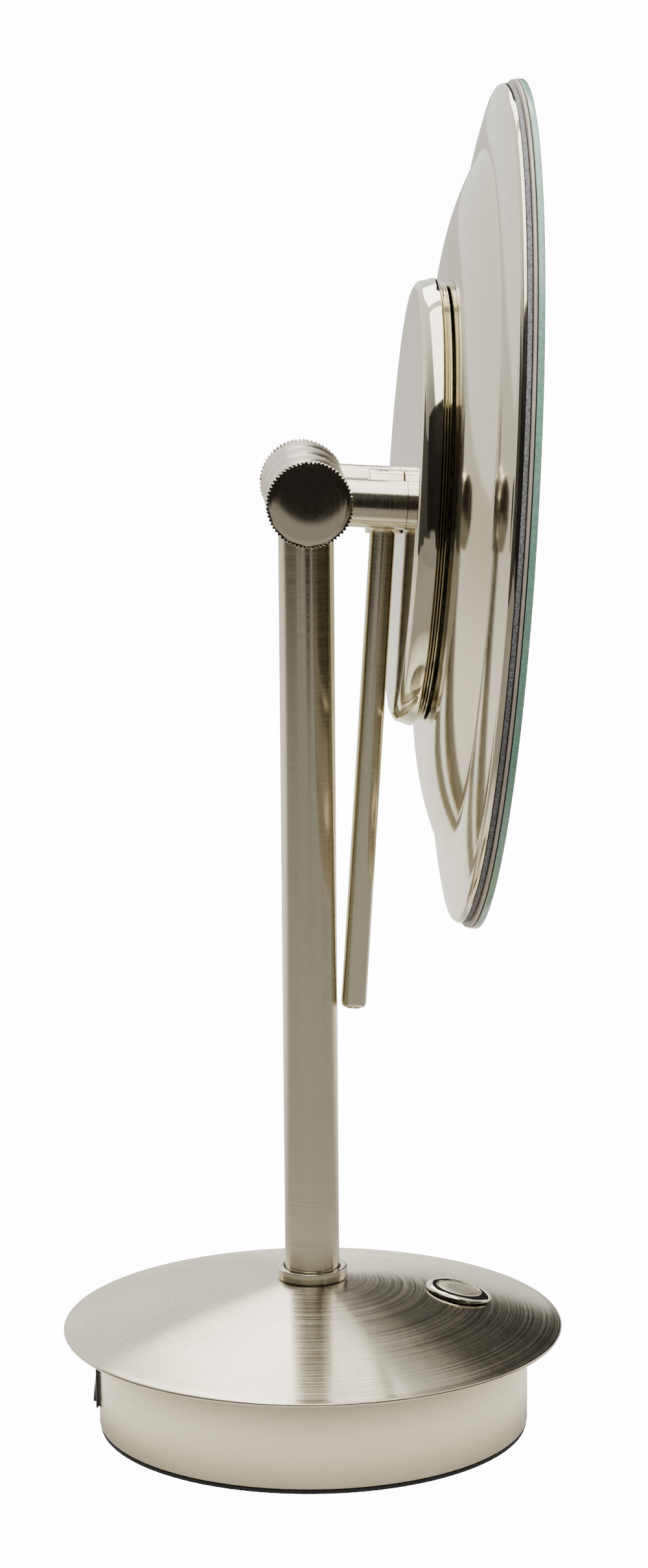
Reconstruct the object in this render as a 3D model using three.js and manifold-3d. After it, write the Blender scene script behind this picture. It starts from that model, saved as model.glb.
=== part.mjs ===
// Lit shaving mirror on a weighted pedestal: a tilting round head on a knurled pivot.
// Millimetres, +Z up, the glass faces -Y. The origin is the centre of the base's underside.
import * as THREE from 'three';
import { mergeVertices } from 'three/addons/utils/BufferGeometryUtils.js';
import Module from 'manifold-3d';

const wasm = await Module();
wasm.setup();

// ---- Driving dimensions -------------------------------------------------------------------

const GAP = 0.3;                 // clearance between touching pieces
const SHEET = 1.2;               // steel sheet of the base
const COARSE = 20;               // sides of a small round piece
const FINE = 48;                 // sides of a large round piece

// Base
const BASE_RADIUS = 63.3;        // drum's outer radius
const DOME_OVERHANG = 10.5;      // dome's rim past the drum
const DOME_LIP_Z = 29.2;         // underside of the dome's rolled lip
const DOME_LIP = 1.2;            // height of that lip
const DOME_ARC = 409;            // radius of the dome's section
const DOME_RIM_SLOPE = 17;       // degrees, at the lip
const PAD_THICKNESS = 1.2;
const BALLAST_HEIGHT = 14;
const BALLAST_WALL = 17;
const BATTERY_DIAMETER = 14.2;
const BATTERY_LENGTH = 50;
const BATTERY_COUNT = 4;
const BATTERY_WALL = 1.2;
const TIE_COUNT = 4;
const TIE_RADIUS = 2;
const TIE_BOSS_RADIUS = 3.8;

// Push button on the dome
const BUTTON_REACH = 43;         // from the post's axis
const BUTTON_RADIUS = 6.2;
const BEZEL_WALL = 1.5;
const BEZEL_FLANGE = 1.8;
const BEZEL_RISE = 1.4;
const BUTTON_TRAVEL = 1;
const BUTTON_DEPTH = 12;
const BUTTON_STEM_RADIUS = 1.6;
const SPRING_RADIUS = 2.6;
const SPRING_WIRE = 0.35;

// Rocker switch at the back of the drum
const SWITCH_WIDTH = 10.5;
const SWITCH_HEIGHT = 15.2;
const SWITCH_CENTRE_Z = 14.4;
const SWITCH_FLANGE = 0.7;
const SWITCH_RIM = 0.9;
const SWITCH_DEPTH = 11;
const ROCKER_THROW = 4;          // degrees each way from the middle

// Post
const POST_RADIUS = 8;
const POST_WALL = 1;
const COLLAR_WALL = 2;
const COLLAR_HEIGHT = 3;
const STEM_RADIUS = 3;
const PLUG_HEIGHT = 15;

// Pivot
const PIVOT_Z = 276.4;
const PIVOT_RADIUS = 12;
const BARREL_LENGTH = 17.6;
const ARM_COLLAR_LENGTH = 15;
const AXLE_RADIUS = 4;
const KNOB_WIDTH = 2.6;
const KNOB_BOSS_RADIUS = 7.6;
const KNOB_BOSS_LENGTH = 4.5;
const KNOB_TEETH = 60;
const KNOB_TOOTH = 0.4;
const WASHER_THICKNESS = 0.9;
const WASHER_RADIUS = 9.5;

// Head: distances run forward from the pivot's axis, square to the glass
const ROD_REST = 0.92;           // between the handle's tip and the post when the head is at rest
const ARM_RADIUS = 6.8;
const HOUSING_BACK = 27.6;
const HOUSING_DEPTH = 8.5;
const HOUSING_RADIUS = 60.4;
const HOUSING_BULGE = 3.4;       // how far the side stands out past the back face
const HOUSING_WALL = 1.2;
const STUB_RADIUS = 9.2;
const STUB_LENGTH = 9.7;
const STUB_DROP = 1.4;           // below the pivot's axis
const ROD_RADIUS = 3.7;
const ROD_REACH = 22.6;          // from the pivot's axis
const ROD_LENGTH = 145;
const HEAD_DROP = 1;             // the glass's centre lies this far below the pivot's axis
const SHELL_WALL = 0.9;
const SHELL_SETBACK = 1.5;       // shell's rim inside the glass's edge
const SHELL_FLAT_SHARE = 0.555;  // flat middle's radius as a share of the shell's
const SHELL_KINK_SHARE = 0.839;  // where the dome meets the flange
const SHELL_DOME_DEPTH = 8.2;
const FLANGE_DEPTH = 5;
const FLANGE_START_SLOPE = 5;    // degrees
const RIM_RADIUS = 1.8;
const GASKET_WIDTH = 7;
const GASKET_THICKNESS = 1.3;
const PLATE_THICKNESS = 0.8;
const GLASS_THICKNESS = 1.8;
const GLASS_RADIUS = 120.5;
const LIGHT_SETBACK = 10;        // light ring's outer edge inside the shell's
const LIGHT_WIDTH = 12;
const LED_BOARD_THICKNESS = 1;
const DIFFUSER_THICKNESS = 1.2;
const SPACER_RADIUS = 3.5;
const SPACER_CIRCLE = 52;
const SPACER_COUNT = 4;
const SCREW_RADIUS = 2;
const SCREW_HEAD_RADIUS = 3.6;
const SCREW_HEAD = 1.8;

// ---- Materials ----------------------------------------------------------------------------

const finish = (color, roughness, metalness) => ({ color, roughness, metalness });
const SATIN_NICKEL = finish(0xc9c1b4, 0.34, 1);
const POLISHED_NICKEL = finish(0xd8d2c6, 0.1, 1);
const BRUSHED_NICKEL = finish(0xbfb7aa, 0.3, 1);
const ZINC_STEEL = finish(0xa9abad, 0.45, 1);
const CAST_IRON = finish(0x4a4a4c, 0.7, 0.8);
const BLACK_RUBBER = finish(0x161616, 0.85, 0);
const BLACK_PLASTIC = finish(0x1c1c1d, 0.4, 0);
const WHITE_PLASTIC = finish(0xe6e6e2, 0.5, 0);
const GREY_FOAM = finish(0x8d8f93, 0.95, 0);
const TAUPE_PLATE = finish(0x9c9488, 0.6, 0);
const BOARD_GREEN = finish(0x24563a, 0.5, 0);
const BATTERY_SLEEVE = finish(0x3c4a63, 0.45, 0.2);
const MIRROR_GLASS = finish(0x9fb8ae, 0.03, 1);

// ---- Small tools --------------------------------------------------------------------------

const radians = (degrees) => degrees * Math.PI / 180;
const object = new THREE.Group();

/** Position-only, merged, with its faces turned outward. */
function closed(geometry) {
  const bare = geometry.clone();
  bare.deleteAttribute('normal');
  bare.deleteAttribute('uv');
  const merged = mergeVertices(bare, 1e-4);
  const place = merged.attributes.position;
  const corner = (i) => new THREE.Vector3().fromBufferAttribute(place, i);
  const faces = [];
  let volume = 0;
  for (let i = 0; i < merged.index.count; i += 3) {
    const [a, b, c] = [0, 1, 2].map((k) => merged.index.getX(i + k));
    if (a === b || b === c || c === a) continue;
    faces.push([a, b, c]);
    volume += corner(a).dot(corner(b).cross(corner(c)));
  }
  const outward = volume < 0 ? faces.map(([a, b, c]) => [a, c, b]) : faces;
  merged.setIndex(outward.flat());
  return merged;
}

function toManifold(geometry) {
  const shape = closed(geometry);
  return new wasm.Manifold(new wasm.Mesh({
    numProp: 3,
    vertProperties: new Float32Array(shape.attributes.position.array),
    triVerts: new Uint32Array(shape.index.array),
  }));
}

function fromManifold(solid) {
  const mesh = solid.getMesh();
  const geometry = new THREE.BufferGeometry();
  geometry.setAttribute('position', new THREE.BufferAttribute(new Float32Array(mesh.vertProperties), 3));
  geometry.setIndex(new THREE.BufferAttribute(new Uint32Array(mesh.triVerts), 1));
  return geometry;
}

const cut = (body, ...tools) => fromManifold(
  tools.reduce((solid, tool) => solid.subtract(toManifold(tool)), toManifold(body)));
const join = (body, ...others) => fromManifold(
  others.reduce((solid, other) => solid.add(toManifold(other)), toManifold(body)));

/** A turned solid about +Z from [radius, height] points, closed if it doesn't meet the axis. */
function turned(profile, sides = FINE) {
  const onAxis = profile[0][0] === 0;
  const points = (onAxis ? profile : [...profile, profile[0]]).map(([r, z]) => new THREE.Vector2(r, z));
  return closed(new THREE.LatheGeometry(points, sides).rotateX(Math.PI / 2));
}

const disc = (radius, low, high, sides) =>
  turned([[0, low], [radius, low], [radius, high], [0, high]], sides);
const ring = (inner, outer, low, high, sides) =>
  turned([[inner, low], [outer, low], [outer, high], [inner, high]], sides);

function block(low, high) {
  const size = high.map((value, i) => value - low[i]);
  return closed(new THREE.BoxGeometry(...size).translate(...low.map((value, i) => value + size[i] / 2)));
}

/** A solid made along +Z, laid along X with its z as x. */
const alongX = (geometry) => geometry.clone().rotateY(Math.PI / 2);

/** Points of an arc in section, from one slope to another, starting at [radius, height]. */
function slopeArc(start, arcRadius, fromSin, toSin, steps) {
  const level = Math.sqrt(1 - fromSin ** 2);
  return Array.from({ length: steps + 1 }, (_, i) => {
    const sine = fromSin + (toSin - fromSin) * i / steps;
    const rise = arcRadius * (level - Math.sqrt(1 - sine ** 2));
    return [start[0] + arcRadius * (sine - fromSin), start[1] + rise];
  });
}

function addTo(group, name, geometry, look) {
  const mesh = new THREE.Mesh(closed(geometry), new THREE.MeshStandardMaterial(look));
  mesh.name = name;
  group.add(mesh);
  return mesh;
}

const around = (count, firstAngle = 0) =>
  Array.from({ length: count }, (_, i) => firstAngle + i * 2 * Math.PI / count);
const polar = (radius, angle) => [radius * Math.cos(angle), radius * Math.sin(angle)];

// ---- Base ---------------------------------------------------------------------------------

const DOME_RADIUS = BASE_RADIUS + DOME_OVERHANG;
const RIM_SINE = Math.sin(radians(DOME_RIM_SLOPE));
const DOME_EDGE = DOME_RADIUS - DOME_LIP;
const DOME_TOP_SINE = RIM_SINE - DOME_EDGE / DOME_ARC;

/** Height of the dome's outer face at a radius. */
function domeZ(radius) {
  const sine = RIM_SINE - (DOME_EDGE - radius) / DOME_ARC;
  return DOME_LIP_Z + DOME_LIP + DOME_ARC * (Math.sqrt(1 - sine ** 2) - Math.sqrt(1 - RIM_SINE ** 2));
}

const domeSlope = (radius) => Math.asin(RIM_SINE - (DOME_EDGE - radius) / DOME_ARC);
const PLATE_TOP = PAD_THICKNESS + GAP + SHEET;
const BALLAST_TOP = PLATE_TOP + GAP + BALLAST_HEIGHT;
const DRUM_BORE = BASE_RADIUS - SHEET;
const BALLAST_OUTER = DRUM_BORE - GAP;
const BALLAST_BORE = BALLAST_OUTER - BALLAST_WALL;
const DOOR_RADIUS = BALLAST_BORE - GAP;
const TIE_CIRCLE = (BALLAST_OUTER + BALLAST_BORE) / 2;
const tieAngles = around(TIE_COUNT, Math.PI / TIE_COUNT);
const SWITCH_FACE = BASE_RADIUS + GAP + SWITCH_FLANGE;
const SWITCH_BODY = [SWITCH_WIDTH / 2 - SWITCH_RIM / 2, SWITCH_HEIGHT / 2 - SWITCH_RIM / 2];

function tieHole(angle, radius, low, high) {
  return disc(radius, low, high, COARSE).translate(...polar(TIE_CIRCLE, angle), 0);
}

/** The switch's body, grown by a clearance, from inside the drum to past its wall. */
function switchBody(clearance, outer) {
  const [halfWidth, halfHeight] = SWITCH_BODY.map((half) => half + clearance);
  return block(
    [-halfWidth, SWITCH_FACE - SWITCH_DEPTH - clearance, SWITCH_CENTRE_Z - halfHeight],
    [halfWidth, outer, SWITCH_CENTRE_Z + halfHeight]);
}

function makeBaseShells() {
  const door = disc(DOOR_RADIUS, 0, PLATE_TOP, FINE);
  addTo(object, 'battery_door', door, BLACK_PLASTIC);

  const pad = ring(DOOR_RADIUS + GAP, BASE_RADIUS - GAP, 0, PAD_THICKNESS);
  addTo(object, 'foot_pad', pad, BLACK_RUBBER);

  const plate = ring(DOOR_RADIUS + GAP, DRUM_BORE - GAP, PAD_THICKNESS + GAP, PLATE_TOP);
  const plateHoles = tieAngles.map((angle) => tieHole(angle, TIE_RADIUS + GAP, 0, PLATE_TOP + 1));
  addTo(object, 'bottom_plate', cut(plate, ...plateHoles), ZINC_STEEL);

  const drumTop = domeZ(BASE_RADIUS) - SHEET - 2 * GAP;
  const drum = ring(DRUM_BORE, BASE_RADIUS, PAD_THICKNESS + GAP, drumTop);
  addTo(object, 'base_drum', cut(drum, switchBody(GAP, BASE_RADIUS + 1)), SATIN_NICKEL);
}

/** The dome's section between two radii, with its underside a sheet's thickness below. */
function domeSection(inner, steps) {
  const radii = Array.from({ length: steps + 1 }, (_, i) => inner + (DOME_EDGE - inner) * i / steps);
  const top = radii.map((radius) => [radius, domeZ(radius)]);
  const lip = [[DOME_RADIUS, DOME_LIP_Z + DOME_LIP / 2], [DOME_RADIUS - DOME_LIP / 2, DOME_LIP_Z]];
  const hem = [[DOME_EDGE - 2 * SHEET, DOME_LIP_Z]];
  const under = radii.filter((radius) => radius < DOME_EDGE - 2 * SHEET).reverse()
    .map((radius) => [radius, domeZ(radius) - SHEET]);
  return [...top, ...lip, ...hem, ...under];
}

function makeDome() {
  const dome = turned(domeSection(STEM_RADIUS + GAP, 5));
  const bossTop = domeZ(TIE_CIRCLE + TIE_BOSS_RADIUS) - SHEET / 2;
  const bosses = tieAngles.map((angle) =>
    tieHole(angle, TIE_BOSS_RADIUS, BALLAST_TOP + GAP, bossTop));
  const threads = tieAngles.map((angle) =>
    tieHole(angle, TIE_RADIUS + GAP, 0, bossTop - 2 * SHEET));
  const buttonHole = disc(BUTTON_RADIUS + GAP + BEZEL_WALL + GAP, -BUTTON_DEPTH, BUTTON_DEPTH / 2, FINE / 2)
    .rotateX(domeSlope(BUTTON_REACH)).translate(0, -BUTTON_REACH, domeZ(BUTTON_REACH));
  addTo(object, 'base_dome', cut(join(dome, ...bosses), ...threads, buttonHole), BRUSHED_NICKEL);
}

function makeBallast() {
  const weight = ring(BALLAST_BORE, BALLAST_OUTER, PLATE_TOP + GAP, BALLAST_TOP);
  const holes = tieAngles.map((angle) => tieHole(angle, TIE_RADIUS + GAP, 0, BALLAST_TOP + 1));
  addTo(object, 'ballast_ring', cut(weight, ...holes, switchBody(2 * GAP, BASE_RADIUS + 1)), CAST_IRON);

  const screwTop = domeZ(TIE_CIRCLE + TIE_BOSS_RADIUS) - 4 * SHEET;
  tieAngles.forEach((angle, i) => {
    const screw = tieHole(angle, TIE_RADIUS, PAD_THICKNESS + GAP, screwTop);
    addTo(object, `tie_screw_${i + 1}`, screw, ZINC_STEEL);
  });
}

function makeBatteries() {
  const pitch = BATTERY_DIAMETER + GAP;
  const floor = PLATE_TOP + GAP;
  const halfWidth = BATTERY_COUNT * pitch / 2;
  const halfLength = BATTERY_LENGTH / 2 + GAP;
  const top = floor + BATTERY_DIAMETER + GAP;
  const tray = cut(
    block([-halfWidth - BATTERY_WALL, -halfLength - BATTERY_WALL, floor],
      [halfWidth + BATTERY_WALL, halfLength + BATTERY_WALL, top + BATTERY_WALL]),
    block([-halfWidth - GAP, -halfLength, floor - 1], [halfWidth + GAP, halfLength, top]));
  addTo(object, 'battery_tray', tray, BLACK_PLASTIC);
  for (let i = 0; i < BATTERY_COUNT; i += 1) {
    const cell = disc(BATTERY_DIAMETER / 2, -BATTERY_LENGTH / 2, BATTERY_LENGTH / 2, COARSE)
      .rotateX(Math.PI / 2)
      .translate((i - (BATTERY_COUNT - 1) / 2) * pitch, 0, floor + BATTERY_DIAMETER / 2);
    addTo(object, `battery_cell_${i + 1}`, cell, BATTERY_SLEEVE);
  }
  const boardLow = top + BATTERY_WALL + GAP;
  const board = block(
    [-halfWidth / 2, -halfLength, boardLow], [halfWidth / 2, -halfLength / 3, boardLow + SHEET]);
  addTo(object, 'driver_board', board, BOARD_GREEN);
}

// ---- Push button --------------------------------------------------------------------------

class Helix extends THREE.Curve {
  constructor(radius, low, high, turns) {
    super();
    Object.assign(this, { radius, low, high, turns });
  }

  getPoint(t, target = new THREE.Vector3()) {
    const angle = 2 * Math.PI * this.turns * t;
    return target.set(...polar(this.radius, angle), this.low + (this.high - this.low) * t);
  }
}

function makeButton() {
  const group = new THREE.Group();
  group.position.set(0, -BUTTON_REACH, domeZ(BUTTON_REACH));
  group.rotation.x = domeSlope(BUTTON_REACH);
  object.add(group);

  const bore = BUTTON_RADIUS + GAP;
  const barrel = bore + BEZEL_WALL;
  const flange = barrel + BEZEL_FLANGE;
  const bezel = turned([
    [bore, -BUTTON_DEPTH], [barrel, -BUTTON_DEPTH], [barrel, GAP], [flange, GAP], [flange, 2 * GAP],
    [barrel, BEZEL_RISE], [bore + BEZEL_WALL / 3, BEZEL_RISE], [bore, BEZEL_RISE - GAP],
  ], FINE / 2);
  addTo(group, 'button_bezel', bezel, POLISHED_NICKEL);

  const capLow = -2 * GAP - BUTTON_TRAVEL;
  const stemLow = capLow - 5;
  const cap = turned([
    [0, stemLow], [BUTTON_STEM_RADIUS, stemLow], [BUTTON_STEM_RADIUS, capLow], [BUTTON_RADIUS, capLow],
    [BUTTON_RADIUS, BEZEL_RISE - 2 * GAP], [BUTTON_RADIUS - GAP, BEZEL_RISE - GAP], [0, BEZEL_RISE - GAP],
  ], FINE / 2);
  addTo(group, 'push_button', cap, BRUSHED_NICKEL);

  const switchTop = stemLow - BUTTON_TRAVEL - GAP;
  const half = SPRING_RADIUS + GAP;
  const contact = block([-half, -half, -BUTTON_DEPTH], [half, half, switchTop]);
  addTo(group, 'button_switch', contact, BLACK_PLASTIC);
  const boardTop = -BUTTON_DEPTH - GAP;
  addTo(group, 'button_board', disc(barrel, boardTop - SHEET, boardTop, COARSE), BOARD_GREEN);

  // The spring stands on the switch and ends short of the cap by the button's travel.
  const low = switchTop + GAP + SPRING_WIRE;
  const coil = new Helix(SPRING_RADIUS, low, capLow - BUTTON_TRAVEL - GAP - SPRING_WIRE, 3);
  const section = new THREE.Shape().absarc(0, 0, SPRING_WIRE, 0, 2 * Math.PI);
  const spring = new THREE.ExtrudeGeometry(section, { steps: 30, curveSegments: 5, extrudePath: coil });
  addTo(group, 'button_spring', spring, ZINC_STEEL);
}

// ---- Rocker switch ------------------------------------------------------------------------

function makeRocker() {
  const halfWidth = SWITCH_WIDTH / 2;
  const halfHeight = SWITCH_HEIGHT / 2;
  const well = [halfWidth - SWITCH_RIM, halfHeight - SWITCH_RIM];
  const depth = SWITCH_DEPTH / 2;
  const flange = block([-halfWidth, SWITCH_FACE - SWITCH_FLANGE, SWITCH_CENTRE_Z - halfHeight],
    [halfWidth, SWITCH_FACE, SWITCH_CENTRE_Z + halfHeight]);
  const pocket = block([-well[0], SWITCH_FACE - depth, SWITCH_CENTRE_Z - well[1]],
    [well[0], SWITCH_FACE + 1, SWITCH_CENTRE_Z + well[1]]);
  const frame = cut(join(flange, switchBody(0, SWITCH_FACE - SWITCH_FLANGE / 2)), pocket);
  addTo(object, 'switch_frame', frame, BLACK_PLASTIC);

  // The paddle is a shallow V in side view, turned about a pin at the pocket's half depth.
  const reach = well[1] - 2 * GAP;
  const face = depth / 2 + GAP;
  const lift = reach * Math.sin(radians(ROCKER_THROW));
  const back = -depth / 2 + lift + 2 * GAP;
  const side = new THREE.Shape([
    [-reach, face + lift - GAP], [-reach, face - lift], [-reach / 2, back], [reach / 2, back],
    [reach, face - lift], [reach, face + lift - GAP], [0, face - GAP],
  ].map(([z, y]) => new THREE.Vector2(z, y)));
  const width = 2 * (well[0] - GAP);
  const paddle = new THREE.ExtrudeGeometry(side, { depth: width, bevelEnabled: false, steps: 1 })
    .translate(0, 0, -width / 2)
    .applyMatrix4(new THREE.Matrix4().makeBasis(
      new THREE.Vector3(0, 0, 1), new THREE.Vector3(0, 1, 0), new THREE.Vector3(1, 0, 0)))
    .rotateX(radians(ROCKER_THROW))
    .translate(0, SWITCH_FACE - depth / 2, SWITCH_CENTRE_Z);
  addTo(object, 'switch_rocker', paddle, BLACK_PLASTIC);
}

// ---- Post ---------------------------------------------------------------------------------

function makePost() {
  const bore = POST_RADIUS - POST_WALL;
  const foot = domeZ(bore) + GAP;
  const saddle = alongX(disc(PIVOT_RADIUS + GAP, -3 * POST_RADIUS, 3 * POST_RADIUS, FINE))
    .translate(0, 0, PIVOT_Z);
  const tube = cut(ring(bore, POST_RADIUS, foot, PIVOT_Z, FINE / 2), saddle);
  addTo(object, 'post_tube', tube, SATIN_NICKEL);

  const inner = POST_RADIUS + GAP;
  const outer = inner + COLLAR_WALL;
  const low = (radius) => domeZ(radius) + GAP;
  const top = low(inner) + COLLAR_HEIGHT;
  const collar = turned([
    [inner, low(inner)], [outer, low(outer)], [outer, top - GAP], [outer - GAP, top], [inner, top],
  ], FINE / 2);
  addTo(object, 'post_collar', collar, POLISHED_NICKEL);

  const plugLow = domeZ(STEM_RADIUS) + GAP;
  const plug = ring(STEM_RADIUS + GAP, bore - GAP, plugLow, plugLow + PLUG_HEIGHT, COARSE);
  addTo(object, 'post_plug', plug, ZINC_STEEL);

  const plateOuter = 24;
  const under = (radius) => domeZ(radius) - SHEET - GAP;
  const plateWall = 2;
  const stiffener = turned([
    [STEM_RADIUS + GAP, under(plateOuter) - plateWall], [plateOuter, under(plateOuter) - plateWall],
    [plateOuter, under(plateOuter)], [STEM_RADIUS + GAP, under(STEM_RADIUS)],
  ], FINE / 2);
  addTo(object, 'dome_stiffener', stiffener, ZINC_STEEL);

  const washerTop = under(plateOuter) - plateWall - GAP;
  addTo(object, 'stem_washer', ring(STEM_RADIUS + GAP, 7, washerTop - SHEET, washerTop, COARSE), ZINC_STEEL);
  const nutTop = washerTop - SHEET - GAP;
  addTo(object, 'stem_nut', cut(disc(5.8, nutTop - 5, nutTop, 6),
    disc(STEM_RADIUS + GAP, nutTop - 6, nutTop + 1, COARSE)), ZINC_STEEL);
  const stemTop = plugLow + PLUG_HEIGHT - GAP;
  addTo(object, 'post_stem', disc(STEM_RADIUS, nutTop - 6, stemTop, COARSE), ZINC_STEEL);
}

// ---- Pivot --------------------------------------------------------------------------------

const BARREL_HALF = BARREL_LENGTH / 2;
const SEAM = 0.4;
const ARM_INNER = BARREL_HALF + SEAM;
const ARM_OUTER = ARM_INNER + ARM_COLLAR_LENGTH;
const KNOB_START = ARM_OUTER + GAP;
const KNOB_END = KNOB_START + KNOB_WIDTH;
const KNOB_FACE = 1.4;
const AXLE_HALF = KNOB_END - KNOB_FACE - GAP;
const sides = [['left', -1], ['right', 1]];

function makeBarrel() {
  const body = alongX(disc(PIVOT_RADIUS, -BARREL_HALF, BARREL_HALF, FINE));
  const spigot = disc(POST_RADIUS - POST_WALL - GAP, -PIVOT_RADIUS - 20, -PIVOT_RADIUS / 2, COARSE);
  const bore = alongX(disc(AXLE_RADIUS + GAP, -PIVOT_RADIUS * 2, PIVOT_RADIUS * 2, COARSE));
  addTo(object, 'pivot_barrel', cut(join(body, spigot), bore), BRUSHED_NICKEL).position.z = PIVOT_Z;
  addTo(object, 'pivot_axle', alongX(disc(AXLE_RADIUS, -AXLE_HALF, AXLE_HALF, COARSE)), ZINC_STEEL)
    .position.z = PIVOT_Z;
  for (const [name, side] of sides) {
    const start = BARREL_HALF + GAP;
    const washer = alongX(ring(AXLE_RADIUS + GAP, WASHER_RADIUS, start, start + WASHER_THICKNESS, COARSE));
    if (side < 0) washer.rotateZ(Math.PI);
    addTo(object, `${name}_friction_washer`, washer, BLACK_PLASTIC).position.z = PIVOT_Z;
  }
}

/** A knurled thumb nut with its boss, made along +Z. */
function knobSolid() {
  const teeth = Array.from({ length: 2 * KNOB_TEETH }, (_, i) => {
    const radius = PIVOT_RADIUS + (i % 2 ? -KNOB_TOOTH / 2 : KNOB_TOOTH / 2);
    return new THREE.Vector2(...polar(radius, i * Math.PI / KNOB_TEETH));
  });
  const rim = new THREE.ExtrudeGeometry(
    new THREE.Shape(teeth), { depth: KNOB_WIDTH, bevelEnabled: false, steps: 1 }).translate(0, 0, KNOB_START);
  const boss = disc(
    KNOB_BOSS_RADIUS, KNOB_START - GAP - KNOB_BOSS_LENGTH, KNOB_START + KNOB_WIDTH / 2, COARSE);
  const thread = disc(AXLE_RADIUS + GAP, 0, AXLE_HALF + GAP, COARSE);
  return cut(join(rim, boss), thread);
}

function makeKnobs() {
  for (const [name, side] of sides) {
    const knob = alongX(knobSolid());
    if (side < 0) knob.rotateZ(Math.PI);
    addTo(object, `${name}_knob`, knob, BRUSHED_NICKEL).position.z = PIVOT_Z;
  }
}

// ---- Head ---------------------------------------------------------------------------------

const SOCKET_TOP = STUB_DROP + STUB_RADIUS / 3;
const ROD_TIP = SOCKET_TOP + GAP + ROD_LENGTH;
const TIP_CLEARANCE = POST_RADIUS + ROD_RADIUS + ROD_REST;

/** The head leans forward until the handle's tip all but rests on the post. */
const headTilt = Math.atan2(ROD_REACH, ROD_TIP) - Math.asin(TIP_CLEARANCE / Math.hypot(ROD_REACH, ROD_TIP));

const head = new THREE.Group();
head.position.z = PIVOT_Z;
head.rotation.x = headTilt;
object.add(head);

const SHELL_RADIUS = GLASS_RADIUS - SHELL_SETBACK;
const SHELL_FLAT_RADIUS = SHELL_RADIUS * SHELL_FLAT_SHARE;
const SHELL_KINK_RADIUS = SHELL_RADIUS * SHELL_KINK_SHARE;
const LIGHT_OUTER_RADIUS = SHELL_RADIUS - LIGHT_SETBACK;
const LIGHT_INNER_RADIUS = LIGHT_OUTER_RADIUS - LIGHT_WIDTH;
const HOUSING_FRONT = HOUSING_BACK + HOUSING_DEPTH;
const SHELL_BACK = HOUSING_FRONT + GAP;
const SHELL_KINK = SHELL_BACK + SHELL_DOME_DEPTH;
const SHELL_FRONT = SHELL_KINK + FLANGE_DEPTH;
const GASKET_BACK = SHELL_FRONT + GAP;
const PLATE_BACK = GASKET_BACK + GASKET_THICKNESS + GAP;
const GLASS_BACK = PLATE_BACK + PLATE_THICKNESS + GAP;

/** Turns a solid made along +Z so that its axis runs forward, out through the glass. */
const forward = (geometry) => geometry.clone().rotateX(Math.PI / 2);
const onHead = (geometry) => forward(geometry).translate(0, 0, -HEAD_DROP);

/** The back plate's tapped fixing for an arm or the stub, in head coordinates. */
const FIXING_DEPTH = 8;
const ARM_CENTRE = (ARM_INNER + ARM_OUTER) / 2;
const fixings = [
  ...sides.map(([name, side]) => ({ name: `${name}_arm_screw`, x: side * ARM_CENTRE, z: 0, depth: FIXING_DEPTH })),
  { name: 'stub_screw', x: 0, z: STUB_RADIUS / 2 - STUB_DROP, depth: FIXING_DEPTH / 2 },
];

function makeArms() {
  for (const [name, side] of sides) {
    const centre = side * ARM_CENTRE;
    const collar = alongX(disc(PIVOT_RADIUS, ARM_INNER, ARM_OUTER, FINE));
    const bore = alongX(disc(AXLE_RADIUS + GAP, ARM_INNER - 1, ARM_OUTER + 1, COARSE));
    const washerSeat = alongX(disc(WASHER_RADIUS + GAP, ARM_INNER - 1,
      BARREL_HALF + 2 * GAP + WASHER_THICKNESS, COARSE));
    const knobSeat = alongX(disc(KNOB_BOSS_RADIUS + GAP, KNOB_START - 2 * GAP - KNOB_BOSS_LENGTH,
      ARM_OUTER + 1, COARSE));
    const ends = [collar, bore, washerSeat, knobSeat];
    if (side < 0) ends.forEach((piece) => piece.rotateZ(Math.PI));
    const tube = forward(disc(ARM_RADIUS, PIVOT_RADIUS / 2, HOUSING_BACK - GAP, FINE / 2))
      .translate(centre, 0, 0);
    const knobSweep = PIVOT_RADIUS + KNOB_TOOTH + GAP;
    const clearOfKnob = alongX(disc(knobSweep, ARM_OUTER, ARM_OUTER + 2 * ARM_RADIUS, FINE));
    if (side < 0) clearOfKnob.rotateZ(Math.PI);
    const thread = forward(disc(SCREW_RADIUS + GAP, HOUSING_BACK - FIXING_DEPTH - GAP, HOUSING_BACK, COARSE))
      .translate(centre, 0, 0);
    const arm = cut(join(collar, tube), ...ends.slice(1), clearOfKnob, thread);
    addTo(head, `${name}_arm`, arm, BRUSHED_NICKEL);
  }
}

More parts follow.
